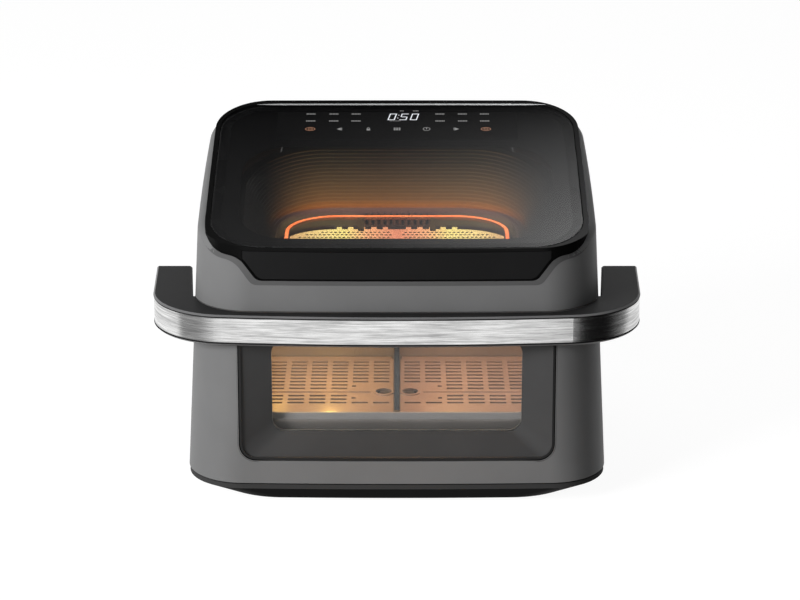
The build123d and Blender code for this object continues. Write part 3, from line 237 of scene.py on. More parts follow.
# Name: colour, roughness, metal, specular, grain, bump, spread of tone, size of patches
FINISHES = {
    "grey paint": ((0.170, 0.171, 0.172), 0.48, 0.0, 0.16, 1500, 0.04, 0.05),
    "base black": ((0.006, 0.006, 0.0062), 0.6, 0.0, 0.03, 1200, 0.08, 0.15),
    "tray black": ((0.0035, 0.0035, 0.0036), 0.6, 0.0, 0.02, 1200, 0.08, 0.15),
    "gloss black": ((0.003, 0.003, 0.003), 0.2, 0.0, 0.07, 300, 0.01, 0.2),
    "fascia black": ((0.011, 0.011, 0.0113), 0.6, 0.0, 0.06, 1500, 0.05, 0.1),
    # Painted shade: a flat strip round the fascia, darker than the grey paint, stands in for the
    # shade of a bevel that is not modelled
    "fascia painted bevel shade": ((0.085, 0.085, 0.086), 0.45, 0.0, 0.3, 1500, 0.04, 0.05),
    "glass print": ((0.008, 0.008, 0.0085), 0.5, 0.0, 0.1, 300, 0.01, 0.2),
    # Painted highlight: a bright, partly metallic strip on the glass stands in for the light caught
    # by the rear bevel
    "painted bevel highlight": ((0.75, 0.76, 0.77), 0.25, 0.6, 0.5, 200, 0.02, 0.08),
    "handle black": ((0.020, 0.020, 0.0205), 0.52, 0.0, 0.08, 1400, 0.10, 0.10),
    # Painted highlight: a lighter copy of the handle black, for the grip's slanted edges
    "handle edge highlight": ((0.15, 0.15, 0.152), 0.4, 0.0, 0.3, 1400, 0.04, 0.10),
    "surround black": ((0.055, 0.055, 0.0555), 0.5, 0.0, 0.12, 1600, 0.05, 0.08),
    # Painted shade: a darker copy of the surround black, for its flat front rim
    "surround rim shade": ((0.020, 0.020, 0.0202), 0.5, 0.0, 0.1, 1600, 0.05, 0.08),
    "shadow gap": ((0.001, 0.001, 0.001), 0.9, 0.0, 0.0, 300, 0.0, 0.1),
    "rubber": ((0.02, 0.02, 0.02), 0.8, 0.0, 0.2, 700, 0.15, 0.15),
    "silicone": ((0.035, 0.035, 0.037), 0.6, 0.0, 0.3, 500, 0.05, 0.12),
    "clear silicone": ((0.30, 0.29, 0.285), 0.45, 0.0, 0.3, 500, 0.04, 0.06),
    "nylon": ((0.62, 0.60, 0.55), 0.5, 0.0, 0.5, 600, 0.05, 0.05),
    "ceramic": ((0.78, 0.75, 0.68), 0.3, 0.0, 0.5, 400, 0.03, 0.04),
    "dark steel": ((0.05, 0.045, 0.04), 0.5, 0.6, 0.5, 300, 0.03, 0.12),
    "zinc sheet": ((0.46, 0.46, 0.45), 0.38, 1.0, 0.5, 90, 0.03, 0.18, 60),
    # Painted light: the crisper plates and pot are painted a warm, light grey that stands in for warm
    # light on them, and warm lamps light them as well
    "non-stick": ((0.36, 0.285, 0.25), 0.34, 0.7, 0.5, 1100, 0.08, 0.14),
    "pot coating in painted warm light": ((0.27, 0.25, 0.235), 0.33, 0.7, 0.5, 1100, 0.06, 0.14),
    "plated screw": ((0.62, 0.62, 0.63), 0.25, 1.0, 0.5, 500, 0.03, 0.1),
    "aluminium": ((0.70, 0.70, 0.71), 0.32, 1.0, 0.5, 200, 0.03, 0.08),
    "motor steel": ((0.36, 0.36, 0.37), 0.35, 1.0, 0.5, 150, 0.03, 0.12),
    "circuit board": ((0.03, 0.13, 0.06), 0.4, 0.0, 0.5, 350, 0.1, 0.3, 200),
    "component black": ((0.04, 0.04, 0.045), 0.45, 0.0, 0.5, 400, 0.06, 0.25),
    "light guide": ((0.75, 0.76, 0.77), 0.3, 0.0, 0.5, 200, 0.02, 0.04),
}
for name, values in FINISHES.items():
    textured(name, *values)

# Name: dark and light streak, roughness, stretch of the streaks, bump
BRUSHED = {
    "handle steel": (grey(0.35), (0.90, 0.90, 0.895), 0.21, (42, 42, 1150), 0.22),
    # Painted shade: the reflector steel is painted near black, as the shade in the deep well, and its
    # glow is painted light
    "reflector steel with painted shade and light": ((0.055, 0.055, 0.054), (0.085, 0.085, 0.083), 0.30, (60, 60, 600), 0.05),
    "guard steel": ((0.55, 0.52, 0.47), (0.75, 0.72, 0.66), 0.34, (40, 500, 40), 0.05),
}
for name, values in BRUSHED.items():
    brushed(name, *values)

glass("smoked glass", (0.004, 0.004, 0.0045), 0.45, 0.02, 0.8)
glass("clear glass", (0.55, 0.57, 0.56), 0.035, 0.03, 0.5)
glow("lamp lens", (1.0, 0.72, 0.38), 2.0, (0.8, 0.75, 0.65))
glow("symbol white", (0.92, 0.95, 1.0), 0.85)
glow("symbol dim", (0.75, 0.75, 0.74), 0.30)
glow("symbol orange", (1.0, 0.42, 0.20), 0.36)


# Glow of the heater, with a painted highlight on its top, and painted light from it on the steel
# round it
def light_heater():
    """The heater glows, with the glow kept to its top, where its normal points up, as a painted
    highlight.
    """
    strength = 4.2
    mat = new_material("glowing heater with painted highlight", (0.10, 0.03, 0.02), 0.5)
    tone = two_tone(mat, noise(mat, 22.0, 3.0), (1.0, 0.17, 0.04), (1.0, 0.30, 0.10))
    surface = add(mat, "NewGeometry")
    normal = add(mat, "SeparateXYZ")
    connect(mat, surface.outputs["Normal"], normal.inputs[0])
    upper = fade(mat, normal.outputs["Z"], 0.9, 0.35)
    emission(mat, tone, maths(mat, "MULTIPLY", upper, strength))


# Heights on the reflector, in metres, with the painted light of the heater at each
REFLECTOR_PAINTED_HALO = [
    (0.2120, (0.05, 0.02, 0.014)),
    (0.2245, (0.06, 0.024, 0.018)),
    (0.2280, (0.26, 0.13, 0.11)),
    (0.2352, (0.34, 0.17, 0.15)),
    (0.2366, (0.85, 0.24, 0.03)),
    (0.2395, (0.80, 0.26, 0.035)),
    (0.2430, (0.50, 0.20, 0.045)),
    (0.2520, (0.32, 0.15, 0.040)),
    (0.2630, (0.17, 0.09, 0.030)),
    (0.2770, (0.05, 0.030, 0.012)),
    (0.2920, (0.0, 0.0, 0.0)),
]


def paint_light_on_reflector(mat):
    """Painted light of the heater on the reflector: strongest over its plain foot, dying out up the
    ribs.
    """
    foot, top = REFLECTOR_PAINTED_HALO[0][0], REFLECTOR_PAINTED_HALO[-1][0]
    spot = axes(mat)
    rise = fade(mat, spot["Z"], top, foot, "LINEAR")
    right_end = fade(mat, spot["X"], 0.085, 0.155)
    left_end = fade(mat, spot["X"], -0.070, -0.135)
    across = maths(mat, "MULTIPLY", right_end, left_end)
    behind = fade(mat, spot["Y"], 0.045, -0.03)
    tone = blend_ramp(mat, rise, [((z - foot) / (top - foot), colour) for z, colour in REFLECTOR_PAINTED_HALO])
    emission(mat, tone, maths(mat, "MULTIPLY", across, behind))


# Distance from the middle of the guard, as a share of its reach, with the painted light at each
GUARD_REACH = 0.125
GUARD_PAINTED_LIGHT = [
    (0.0, (0.80, 0.26, 0.14)),
    (0.24, (1.0, 0.46, 0.20)),
    (0.42, (1.0, 0.82, 0.24)),
    (0.62, (0.95, 0.70, 0.25)),
    (0.95, (0.60, 0.26, 0.12)),
]


def paint_light_on_guard(mat):
    """Painted light on the guard: red in the middle, yellow at the sides."""
    strength = 3.0
    side = maths(mat, "ABSOLUTE", axes(mat)["X"])
    tone = blend_ramp(mat, maths(mat, "MULTIPLY", side, 1 / GUARD_REACH), GUARD_PAINTED_LIGHT)
    emission(mat, tone, strength)


# Height of the base's lip, in metres, and its painted lighter colour, which stands in for light
# falling on its front
LIP_HEIGHT = 0.0181
LIP_PAINTED_LIGHT = (0.050, 0.050, 0.0502)


def paint_light_on_lip(mat, height, colour):
    """Painted light: the base's lip is painted lighter than the taper under it, as if lit on its
    front.
    """
    soft = 0.0002
    mix = add(mat, "Mix")
    mix.data_type = "RGBA"
    taper = principled(mat).inputs["Base Color"].links[0].from_socket
    # Input 0 is the share, inputs 6 and 7 and output 2 are the colours of a mix
    connect(mat, fade(mat, axes(mat)["Z"], height + soft, height - soft), mix.inputs[0])
    connect(mat, taper, mix.inputs[6])
    mix.inputs[7].default_value = (*colour, 1)
    feed(mat, mix.outputs[2], "Base Color")


light_heater()
paint_light_on_reflector(looks["reflector steel with painted shade and light"])
paint_light_on_guard(looks["guard steel"])
paint_light_on_lip(looks["tray black"], LIP_HEIGHT, LIP_PAINTED_LIGHT)

# Packed pieces that wear each material
WEARERS = {
    "grey paint": ["lower_housing", "upper_housing", "drawer_front"],
    "base black": ["rear_cover", "cable_gland"],
    "tray black": ["base_tray"],
    "gloss black": ["top_frame"],
    "fascia black": ["fascia_plate"],
    "glass print": ["glass_gasket", "touch_film"],
    "smoked glass": ["top_glass"],
    "clear glass": ["inner_top_glass", "window_outer_glass", "inner_window_glass"],
    "light guide": ["display_module"],
    "circuit board": ["display_board", "power_board"],
    "component black": ["power_components", "drawer_sensor"],
    "reflector steel with painted shade and light": ["reflector"],
    "glowing heater with painted highlight": ["heater_element"],
    "guard steel": ["heater_guard"],
    "dark steel": ["heater_clips"],
    "ceramic": ["heater_terminals", "thermal_cutout", "lamp_holder"],
    "lamp lens": ["lamp_lens"],
    "zinc sheet": [
        "cavity_ceiling",
        "cavity_liner",
        "fan_housing",
        "motor_bracket",
        "drawer_back_plate",
        "window_retainer",
        "pot_brackets",
    ],
    "plated screw": [
        "base_screws",
        "cover_screws",
        "drawer_screws",
        "drawer_magnet",
        "motor_shaft",
        "temperature_probe",
    ],
    "aluminium": ["fan_impeller", "cooling_fan"],
    "motor steel": ["fan_motor"],
    "nylon": ["drawer_rails", "pot_runners"],
    "rubber": ["feet", "rear_spacers"],
    "surround black": ["window_surround"],
    "clear silicone": ["inner_window_seal"],
    "silicone": ["crisper_feet_right", "crisper_feet_left", "divider_seal"],
    "pot coating in painted warm light": ["cooking_pot", "divider_guide"],
    "non-stick": ["crisper_right", "crisper_left", "divider_panel"],
    "handle black": ["handle_core", "handle_underside"],
    "handle steel": ["handle_band"],
}
for look, names in WEARERS.items():
    for name in names:
        data = nodes[name].data
        data.materials.clear()
        data.materials.append(looks[look])
        for polygon in data.polygons:
            polygon.material_index = 0


def second_look(name, look, chosen):
    """Give the faces that the test picks a second material."""
    data = nodes[name].data
    data.materials.append(looks[look])
    for polygon in data.polygons:
        if chosen(polygon):
            polygon.material_index = 1


def slanted(face):
    """Whether a face leans about halfway between level and upright."""
    return 0.6 < abs(face.normal.z) < 0.8


def front_rim(face):
    """Whether a face looks forward and lies at the very front."""
    return face.normal.y < -0.97 and face.center.y < -0.13


# The slanted edges of the grip get a painted highlight, and the surround's flat rim gets painted
# shade
second_look("handle_core", "handle edge highlight", slanted)
second_look("window_surround", "surround rim shade", front_rim)


# Mesh helpers
def finish_mesh(name, mesh_build, material, body, thick=0.0):
    """Turn a bmesh into an object that rides on a body."""
    data = bpy.data.meshes.new(name)
    bmesh.ops.recalc_face_normals(mesh_build, faces=mesh_build.faces)
    mesh_build.to_mesh(data)
    mesh_build.free()
    obj = bpy.data.objects.new(name, data)
    scene.collection.objects.link(obj)
    data.materials.append(material)
    if thick:
        solid = obj.modifiers.new("thickness", "SOLIDIFY")
        solid.thickness = thick
        solid.offset = -1.0
    if body:
        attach(obj, body)
    return obj


def bridge(build, outer, inner):
    """Close the band between two rings of as many vertices."""
    count = len(outer)
    for i in range(count):
        j = (i + 1) % count
        build.faces.new([outer[i], outer[j], inner[j], inner[i]])


def join_rows(build, rows):
    """Close the band between neighbouring pairs of vertices."""
    for a, b in zip(rows, rows[1:]):
        build.faces.new([a[0], b[0], b[1], a[1]])


def rounded_loop(half, low, high, radius, steps=10):
    """Points of a rounded rectangle, counter-clockwise."""
    points = []
    corners = ((half, high, 0), (-half, high, 90), (-half, low, 180), (half, low, 270))
    for x, s, start in corners:
        cx = x - radius if x > 0 else x + radius
        cs = s - radius if s == high else s + radius
        for i in range(steps + 1):
            turn = radians(start + 90 * i / steps)
            points.append((cx + radius * cos(turn), cs + radius * sin(turn)))
    return points


# The glass slopes up from its front edge
SLOPE = radians(15.5)
GLASS_Y = -132.277
GLASS_Z = 253.5
PRINT_LIFT = 0.04


def on_glass(x, s, lift=PRINT_LIFT):
    """A point on the sloping glass: across, up the slope and above it, in mm."""
    y = GLASS_Y + s * cos(SLOPE) - lift * sin(SLOPE)
    z = GLASS_Z + s * sin(SLOPE) + lift * cos(SLOPE)
    return Vector((x * MM, y * MM, z * MM))


def flat_shape(build, points):
    build.faces.new([build.verts.new(on_glass(x, s)) for x, s in points])


def bar(build, x0, x1, s0, s1):
    flat_shape(build, [(x0, s0), (x1, s0), (x1, s1), (x0, s1)])


def ring(build, x, s, rx, rs, width, count=28):
    """An elliptical ring on the glass."""
    loops = []
    for a, b in ((rx, rs), (rx - width, rs - width)):
        turns = [2 * pi * i / count for i in range(count)]
        loops.append([build.verts.new(on_glass(x + a * cos(t), s + b * sin(t))) for t in turns])
    bridge(build, *loops)


# Clock and symbols on the glass, all plain and generic
SEGMENTS = {"0": "abcdef", "5": "acdfg"}
LEAN = 0.2


def digit(build, x, s, wide, tall, stroke, shape):
    """A slanted seven-segment figure."""
    half = tall / 2
    spans = {
        "a": (0, wide, tall - stroke, tall),
        "g": (stroke, wide - stroke, half - stroke / 2, half + stroke / 2),
        "d": (0, wide, 0, stroke),
        "f": (0, stroke, half, tall),
        "e": (0, stroke, 0, half),
        "b": (wide - stroke, wide, half, tall),
        "c": (wide - stroke, wide, 0, half),
    }
    for key in SEGMENTS[shape]:
        x0, x1, s0, s1 = spans[key]
        corners = ((x0, s0), (x1, s0), (x1, s1), (x0, s1))
        flat_shape(build, [(x + dx + LEAN * ds, s + ds) for dx, ds in corners])


def dashes(build, x, s, wide, tall, count):
    """A row of short marks."""
    inked = 0.72
    step = wide / count
    for i in range(count):
        left = x - wide / 2 + i * step
        bar(build, left, left + step * inked, s - tall / 2, s + tall / 2)


def make_clock():
    """Three figures with a colon of two dots."""
    build = bmesh.new()
    foot, wide, tall, stroke = 237.0, 7.2, 12.7, 1.15
    dot_wide, dot_tall = 0.9, 1.3
    for x, shape in ((-9.6, "0"), (2.2, "5"), (12.6, "0")):
        digit(build, x, foot, wide, tall, stroke, shape)
    for x, s in ((0.32, 240.4), (1.44, 246.0)):
        bar(build, x, x + dot_wide, s, s + dot_tall)
    finish_mesh("clock_figures", build, looks["symbol white"], "housing")


def make_marks():
    """Two rows of marks on both sides of the clock, and small ones round it."""
    build = bmesh.new()
    upper_row, lower_row = 249.1, 235.2
    for x in (-86.0, -63.0, -40.8, 43.2, 65.7, 87.8):
        dashes(build, x, upper_row, 9.2, 2.0, 6)
        dashes(build, x, lower_row, 9.6, 2.0, 6)
    dashes(build, 5.0, 255.3, 4.0, 1.4, 3)
    dashes(build, 19.0, 255.3, 6.0, 1.4, 4)
    dashes(build, -1.6, 235.4, 11.5, 1.0, 7)
    finish_mesh("program_marks", build, looks["symbol dim"], "housing")


KEY_ROW = 219.3


def arrow(build, x, way):
    """A triangle with a bar behind it, to the left for -1 and to the right for 1."""
    low, high = KEY_ROW - 2.6, KEY_ROW + 2.6
    back, tip = x - 1.6 * way, x + 2.4 * way
    flat_shape(build, [(back, low), (tip, KEY_ROW), (back, high)][::way])
    left, right = sorted((x - 2.8 * way, x - 2.1 * way))
    bar(build, left, right, low, high)


def clock_symbol(build, x):
    """A ring with one hand."""
    ring(build, x, KEY_ROW, 3.7, 3.3, 0.7)
    bar(build, x - 0.4, x + 0.4, KEY_ROW - 0.6, KEY_ROW + 2.4)


def lock_symbol(build, x):
    """A block with a shackle."""
    bar(build, x - 1.7, x + 1.7, KEY_ROW - 2.8, KEY_ROW + 0.4)
    ring(build, x, KEY_ROW + 0.8, 1.4, 2.6, 0.6, 20)


def grid_symbol(build, x):
    """Six small squares in two rows."""
    side, pitch = 1.8, 2.4
    for i in range(3):
        left = x + i * pitch
        bar(build, left, left + side, KEY_ROW - 2.4, KEY_ROW - 0.4)
        bar(build, left, left + side, KEY_ROW + 0.5, KEY_ROW + 2.5)


def make_symbols():
    """Touch symbols: clock, two arrows, lock and squares."""
    build = bmesh.new()
    clock_symbol(build, 29.4)
    arrow(build, -57.4, -1)
    arrow(build, 59.2, 1)
    lock_symbol(build, -28.4)
    grid_symbol(build, -3.2)
    finish_mesh("touch_symbols", build, looks["symbol dim"], "housing")


def make_end_keys():
    """A lit ring at each end of the row."""
    build = bmesh.new()
    for x in (-86.2, 88.4):
        ring(build, x, KEY_ROW, 5.0, 3.3, 0.7)
        ring(build, x, KEY_ROW, 2.4, 1.8, 0.6)
    finish_mesh("end_keys", build, looks["symbol orange"], "housing")


def make_glass_print():
    """Black print under the glass, round the clear field."""
    build = bmesh.new()
    outer = rounded_loop(166.0, 14.6, 262.6, 38)
    inner = rounded_loop(150.0, 24.0, 192.0, 46)
    depth = -4.1
    loops = []
    for outline in (outer, inner):
        loops.append([build.verts.new(on_glass(x, s, depth)) for x, s in outline])
    bridge(build, *loops)
    finish_mesh("glass_print", build, looks["glass print"], "housing")


def make_rear_bevel_highlight():
    """Painted highlight of a bevel along the glass's rear edge: a bright strip, thinning out at both
    ends.
    """
    build = bmesh.new()
    left, right, steps = -141, 150, 40
    middle, bow, half_bow = 268.0, 0.6, 179.0
    half_width, end_steps, lift = 1.5, 3, 0.05
    rows = []
    for i in range(steps + 1):
        x = left + (right - left) * i / steps
        s = middle + bow * (1 - (x / half_bow) ** 2)
        half = half_width * min(1.0, (i + 0.4) / end_steps, (steps - i + 0.4) / end_steps)
        rows.append([build.verts.new(on_glass(x, s + off, lift)) for off in (-half, half)])
    join_rows(build, rows)
    finish_mesh("rear_bevel_highlight", build, looks["painted bevel highlight"], "housing")


make_clock()
make_marks()
make_symbols()
make_end_keys()
make_glass_print()
make_rear_bevel_highlight()

# Front faces that thin pieces are laid on
skin_trees = {}
for name in ("upper_housing", "top_frame", "drawer_front", "window_surround"):
    mesh = nodes[name].data
    corners = [v.co for v in mesh.vertices]
    skin_trees[name] = BVHTree.FromPolygons(corners, [p.vertices for p in mesh.polygons])


def on_skin(name, x, z):
    """The point of a node's front face at x, z, or None."""
    hit = skin_trees[name].ray_cast(Vector((x * MM, -1.0, z * MM)), Vector((0, 1, 0)))
    return hit[0]


# Painted bevel shade and painted shadow line round the fascia, on a contour of six corners
FASCIA_LOW = 223.0
FASCIA_SHELF = 245.3
FASCIA_RISE = 3.0
FASCIA_TOP = 300.0
FASCIA_INNER = 129.5
FASCIA_OUTER = 146.0
FASCIA_WIDE = 180.5
FASCIA_TURNS = [24.0, 20.0, 10.0, 10.0, 20.0, 24.0]
LONGEST_RUN = 5.0

# The strips end at this height, in mm, at this depth and where the skin jumps, in metres
STRIP_TOP = 262
STRIP_REAR = -0.09
LONGEST_STEP = 0.02


def round_corner(before, here, after, radius, steps=8):
    """Points of the arc that rounds one corner of a polyline."""
    a, b = (before - here).normalized(), (after - here).normalized()
    half_turn = a.angle(b) / 2
    centre = here + (a + b).normalized() * radius / sin(half_turn)
    reach = radius / tan(half_turn)
    start, end = here + a * reach - centre, here + b * reach - centre
    arc = []
    for k in range(steps + 1):
        share = k / steps
        arc.append(centre + (start * (1 - share) + end * share).normalized() * start.length)
    return arc


def filleted(points, turns):
    """A polyline with its inner corners rounded, and its long runs divided."""
    points = [Vector(point) for point in points]
    path = [points[0]]
    for before, here, after, radius in zip(points, points[1:], points[2:], turns):
        path += round_corner(before, here, after, radius)
    path.append(points[-1])
    fine = [path[0]]
    for a, b in zip(path, path[1:]):
        parts = max(1, int((b - a).length / LONGEST_RUN))
        fine += [a + (b - a) * (k / parts) for k in range(1, parts + 1)]
    return fine


def fascia_line(grow):
    """The fascia's contour on the front, from the left end to the right end."""
    shelf = FASCIA_SHELF - grow
    wide = FASCIA_WIDE + grow
    half = [
        (-wide, FASCIA_TOP),
        (-wide, shelf + FASCIA_RISE),
        (-FASCIA_OUTER - grow, shelf),
        (-FASCIA_INNER - grow, FASCIA_LOW - grow),
    ]
    return filleted(half + [(-x, z) for x, z in reversed(half)], FASCIA_TURNS)


def along(line, share):
    """The point at a share of a polyline, counted in its points."""
    place = share * (len(line) - 1)
    i = min(int(place), len(line) - 2)
    return line[i] + (line[i + 1] - line[i]) * (place - i)


def on_front(name, point):
    """The contour's point on a skin, or None past the ends of the front."""
    hit = on_skin(name, point.x, point.y)
    if hit is None or point.y > STRIP_TOP or hit.y > STRIP_REAR:
        return None
    return hit


def contour_strip(name, grows, skins, look, lift):
    """A thin band between two offsets of the fascia's contour, each on its own skin."""
    build = bmesh.new()
    lines = [fascia_line(grow) for grow in grows]
    count = 240
    out = Vector((0, -1, 0.2)).normalized() * lift * MM
    rows = []
    for k in range(count + 1):
        hits = [on_front(skin, along(line, k / count)) for skin, line in zip(skins, lines)]
        rows.append(None if None in hits else [build.verts.new(hit + out) for hit in hits])
    for a, b in zip(rows, rows[1:]):
        if a and b and (a[0].co - b[0].co).length < LONGEST_STEP:
            build.faces.new([a[0], b[0], b[1], a[1]])
    finish_mesh(name, build, looks[look], "housing")


contour_strip("fascia_painted_bevel_shade", (0.6, 5.0), ("upper_housing", "upper_housing"), "fascia painted bevel shade", 0.10)
contour_strip("fascia_shadow_line", (-0.5, 0.75), ("top_frame", "upper_housing"), "shadow gap", 0.14)


# Painted shadow in the joint between the window surround and the door
def make_surround_joint_shadow():
    """A thin closed black band round the surround's outline, on the door's front: painted shadow of
    the joint.
    """
    half, low, high, radius = 149.0, 46.6, 176.0, 16.0
    lift = Vector((0, -0.12 * MM, 0))
    build = bmesh.new()
    loops = []
    for grow, skin in ((-0.5, "window_surround"), (1.3, "drawer_front")):
        outline = rounded_loop(half + grow, low - grow, high + grow, radius + grow, 8)
        loops.append([build.verts.new(on_skin(skin, x, z) + lift) for x, z in outline])
    bridge(build, *loops)
    finish_mesh("surround_joint_shadow", build, looks["shadow gap"], "drawer")


make_surround_joint_shadow()

# Perforated guard with its toothed edge
GUARD_RADIUS = 53.8
TOOTH_PITCH = 11.5
TOOTH_HALF = 2.6
TOOTH_LENGTH = 7.4
HOLE_PITCH = 4.35
HOLE_HALF_LENGTH = 3.3
HOLE_HALF_WIDTH = 1.55
HOLES_TO_A_SIDE = 27
ROW_PITCH = 8.4
ROW_COUNT = 5
FIRST_ROW = 9.0
HALF_RIB = 4.5
GUARD_THICKNESS = 0.8


def in_round_box(x, y, half, front, rear, radius):
    """Whether a point lies inside a rounded rectangle."""
    cx = max(abs(x) - (half - radius), 0.0)
    cy = max(abs(y - (front + rear) / 2) - ((rear - front) / 2 - radius), 0.0)
    return cx * cx + cy * cy <= radius * radius


def guard_outline(half, front, rear, reach):
    """The guard's rim: a rounded rectangle with teeth along its rear run."""
    arcs = rounded_loop(half, front, rear, GUARD_RADIUS, 14)
    first = len(arcs) // 4
    teeth = []
    for t in (5, 4, 3, 2, 1, -1, -2, -3, -4, -5):
        x = t * TOOTH_PITCH
        if abs(x) <= half - GUARD_RADIUS:
            right, left = x + TOOTH_HALF, x - TOOTH_HALF
            teeth += [(right, rear), (right, reach), (left, reach), (left, rear)]
    return arcs[:first] + teeth + arcs[first:]


def guard_hole(x, y):
    """A hole with round ends, about twice as long as it is wide."""
    hole = []
    straight = HOLE_HALF_LENGTH - HOLE_HALF_WIDTH
    for k in range(8):
        turn = radians(45 * k + 22.5)
        end = straight if sin(turn) > 0 else -straight
        hole.append((x + HOLE_HALF_WIDTH * cos(turn), y + HOLE_HALF_WIDTH * sin(turn) + end))
    return hole


def make_guard():
    """Thin guard with a toothed rim and staggered rows of holes."""
    low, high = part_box("heater_guard")
    half, front, reach, top = high.x / MM, low.y / MM, high.y / MM, high.z / MM
    rear = reach - TOOTH_LENGTH
    loops = [guard_outline(half, front, rear, reach)]
    side_margin, rear_margin = 3, 2
    for row in range(ROW_COUNT):
        y = rear - FIRST_ROW - ROW_PITCH * row
        shift = HOLE_PITCH / 2 if row % 2 else 0.0
        for i in range(-HOLES_TO_A_SIDE, HOLES_TO_A_SIDE + 1):
            x = i * HOLE_PITCH + shift
            far_end = y + HOLE_HALF_LENGTH + rear_margin
            inside = in_round_box(x, far_end, half - side_margin, front, rear, GUARD_RADIUS)
            if inside and abs(x) >= HALF_RIB:
                loops.append(guard_hole(x, y))
    build = bmesh.new()
    edges = []
    for loop in loops:
        verts = [build.verts.new((x * MM, y * MM, top * MM)) for x, y in loop]
        edges += [build.edges.new(pair) for pair in zip(verts, verts[1:] + verts[:1])]
    bmesh.ops.triangle_fill(build, edges=edges, use_beauty=True)
    return finish_mesh("guard_mesh", build, looks["guard steel"], "housing", GUARD_THICKNESS * MM)


guard = make_guard()
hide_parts("heater_guard")


# Floor and backdrop
def seen_share(tree):
    """One for rays from the camera, from a gloss and through a clear face."""
    rays = tree.nodes.new("ShaderNodeLightPath")
    share = rays.outputs["Is Camera Ray"]
    for kind in ("Is Glossy Ray", "Is Transmission Ray"):
        wider = tree.nodes.new("ShaderNodeMath")
        wider.operation = "MAXIMUM"
        tree.links.new(share, wider.inputs[0])
        tree.links.new(rays.outputs[kind], wider.inputs[1])
        share = wider.outputs[0]
    return share


def mix_shaders(tree, share, lit, shown, output):
    """Show one shader to the rays that are seen, and light the scene with another."""
    mix = tree.nodes.new("ShaderNodeMixShader")
    tree.links.new(share, mix.inputs[0])
    tree.links.new(lit.outputs[0], mix.inputs[1])
    tree.links.new(shown.outputs[0], mix.inputs[2])
    tree.links.new(mix.outputs[0], tree.nodes[output].inputs[0])


def make_floor(size, level, strength, part):
    """A wide pale floor, mostly white to the camera, that keeps the object's shadow."""
    mat = textured("floor", grey(0.62), 0.9, 0.0, 0.1, 40, 0.0, 0.005, 2)
    tree = mat.node_tree
    white = add(mat, "Emission", Strength=strength)
    share = maths(mat, "MULTIPLY", seen_share(tree), part)
    mix_shaders(tree, share, principled(mat), white, "Material Output")
    build = bmesh.new()
    for x, y in ((-size, -size), (size, -size), (size, size), (-size, size)):
        build.verts.new((x, y, level))
    build.faces.new(build.verts)
    obj = finish_mesh("floor", build, mat, None)


def make_world(light, shown):
    """Even ambient light, with a pale backdrop for what is seen."""
    world = bpy.data.worlds.new("world")
    scene.world = world
    world.use_nodes = True
    tree = world.node_tree
    ambient = tree.nodes["Background"]
    ambient.inputs["Color"].default_value = (1, 1, 1, 1)
    ambient.inputs["Strength"].default_value = light
    backdrop = tree.nodes.new("ShaderNodeBackground")
    backdrop.inputs["Color"].default_value = (*grey(shown), 1)
    mix_shaders(tree, seen_share(tree), ambient, backdrop, "World Output")


make_floor(6.0, -0.0002, 1.31, 0.72)
make_world(0.10, 0.8)


# Lights and reflector cards
def area_light(name, place, target, size, power, colour=(1, 1, 1), glossy=True):
    """A light of the given width and length that faces a target."""
    data = bpy.data.lights.new(name, "AREA")
    data.shape = "RECTANGLE"
    data.size, data.size_y = size
    data.energy = power
    data.color = colour
    lamp = bpy.data.objects.new(name, data)
    lamp.location = place
    lamp.rotation_euler = (Vector(target) - Vector(place)).to_track_quat("-Z", "Y").to_euler()
    lamp.visible_glossy = glossy
    lamp.visible_camera = False
    scene.collection.objects.link(lamp)


def point_light(name, place, power, colour, radius=0.01, glossy=False):
    """A small round light."""
    data = bpy.data.lights.new(name, "POINT")
    data.energy = power
    data.color = colour
    data.shadow_soft_size = radius
    lamp = bpy.data.objects.new(name, data)
    lamp.location = place
    lamp.visible_camera = False
    lamp.visible_glossy = glossy
    scene.collection.objects.link(lamp)


def measure(mat, direction):
    """How far a point of the card lies along a direction from its middle."""
    place = add(mat, "TexCoord")
    product = add(mat, "VectorMath")
    product.operation = "DOT_PRODUCT"
    product.inputs[1].default_value = direction
    connect(mat, place.outputs["Object"], product.inputs[0])
    return product.outputs["Value"]


def card(name, centre, normal, size, stops, strength=1.0, climb=0.0):
    """A card that only gloss sees, shaded from side to side and lit up the card by climb."""
    facing = Vector(normal).normalized()
    right = Vector((0, 0, 1)).cross(facing).normalized()
    up = facing.cross(right)
    build = bmesh.new()
    for u, v in ((-1, -1), (1, -1), (1, 1), (-1, 1)):
        build.verts.new(right * u * size[0] / 2 + up * v * size[1] / 2)
    build.faces.new(build.verts)
    mat = bpy.data.materials.new(name)
    mat.use_nodes = True
    tree = mat.node_tree
    tree.nodes.remove(principled(mat))
    glowing = add(mat, "Emission", Strength=strength)
    across = maths(mat, "ADD", measure(mat, right / size[0]), 0.5)
    connect(mat, blend_ramp(mat, across, stops), glowing.inputs["Color"])
    if climb:
        level = maths(mat, "ADD", measure(mat, up * climb), strength)
        connect(mat, maths(mat, "MAXIMUM", level, 0.0), glowing.inputs["Strength"])
    connect(mat, glowing.outputs[0], tree.nodes["Material Output"].inputs[0])
    obj = finish_mesh(name, build, mat, None)
    obj.location = centre
    for flag in ("visible_camera", "visible_diffuse", "visible_shadow", "visible_volume_scatter"):
        setattr(obj, flag, False)


def greys(*stops):
    """Ramp stops from pairs of place and tone."""
    return [(place, grey(tone)) for place, tone in stops]


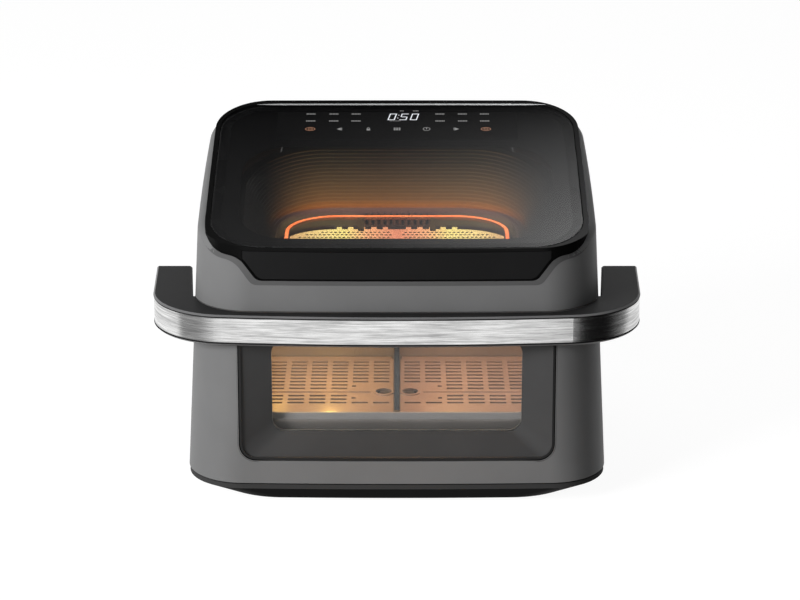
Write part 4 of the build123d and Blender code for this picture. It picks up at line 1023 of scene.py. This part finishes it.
# Tones across each card, from its left edge to its right edge
SKY_TONES = greys((0.0, 0.07), (0.36, 0.08), (0.46, 0.19), (0.56, 0.42), (0.66, 0.80), (1.0, 0.9))
RIGHT_TONES = greys(
    (0.0, 0.50),
    (0.05, 0.40),
    (0.41, 0.22),
    (0.57, 0.09),
    (0.64, 0.03),
    (0.70, 0.005),
    (0.92, 0.01),
    (1.0, 0.12),
)
LEFT_TONES = greys((0.0, 0.85), (0.20, 0.62), (0.36, 0.44), (0.50, 0.33), (0.90, 0.33), (1.0, 0.50))
BLACK_TONES = greys((0.0, 0.0), (1.0, 0.0))

area_light("key", (-2.02, -1.78, 1.17), (0, 0, 0.15), (1.1, 1.1), 79.5)
area_light("top", (-0.6, 0.2, 2.4), (0, 0, 0.2), (1.6, 1.6), 8)

# The first card is what the glass mirrors, the others are what the steel band mirrors
card("sky_card", (0.05, 1.32, 1.86), (0, -0.65, -0.76), (2.0, 1.4), SKY_TONES, 3.05, 12.6)
card("right_card", (0.573, -0.092, 0.34), (-0.77, 0.64, 0), (0.98, 0.68), RIGHT_TONES)
card("right_floor_card", (0.37, -0.30, 0.004), (0, -0.01, 1), (0.30, 0.36), BLACK_TONES)
card("left_card", (-0.398, -0.321, 0.32), (0.85, 0.53, 0), (0.36, 0.64), LEFT_TONES)

# Warm light over each plate and on the heater's guard
WARM = (1.0, 0.60, 0.30)
PINK = (1.0, 0.60, 0.42)
YELLOW = (1.0, 0.66, 0.26)
AMBER = (1.0, 0.42, 0.12)
GOLD = (1.0, 0.72, 0.18)
area_light("left_zone", (-0.08, -0.02, 0.176), (-0.08, -0.02, 0.0), (0.13, 0.13), 0.47, WARM, False)
area_light("right_zone", (0.08, -0.02, 0.176), (0.08, -0.02, 0.0), (0.13, 0.13), 0.45, PINK, False)
area_light("left_heat", (-0.045, 0.03, 0.243), (-0.045, 0.05, 0.2), (0.07, 0.03), 0.12, YELLOW, False)
area_light("right_heat", (0.045, 0.03, 0.243), (0.045, 0.05, 0.2), (0.07, 0.03), 0.12, YELLOW, False)
for x in (-0.075, 0.0, 0.075):
    point_light("halo", (x, 0.045, 0.236), 0.008, AMBER)

# Small gleams on the ribs and along the plates' edges
point_light("rib_streak", (-0.087, -0.07, 0.240), 0.12, (1.0, 0.95, 0.85), 0.004, True)
point_light("left_gleam", (-0.066, -0.045, 0.115), 0.030, GOLD, 0.006, True)
point_light("front_gleam_left", (-0.064, -0.088, 0.105), 0.020, GOLD, 0.006, True)
point_light("front_gleam_right", (0.050, -0.088, 0.105), 0.014, (1.0, 0.70, 0.22), 0.006, True)
point_light("edge_gleam", (-0.118, 0.0, 0.12), 0.012, GOLD, 0.006, True)

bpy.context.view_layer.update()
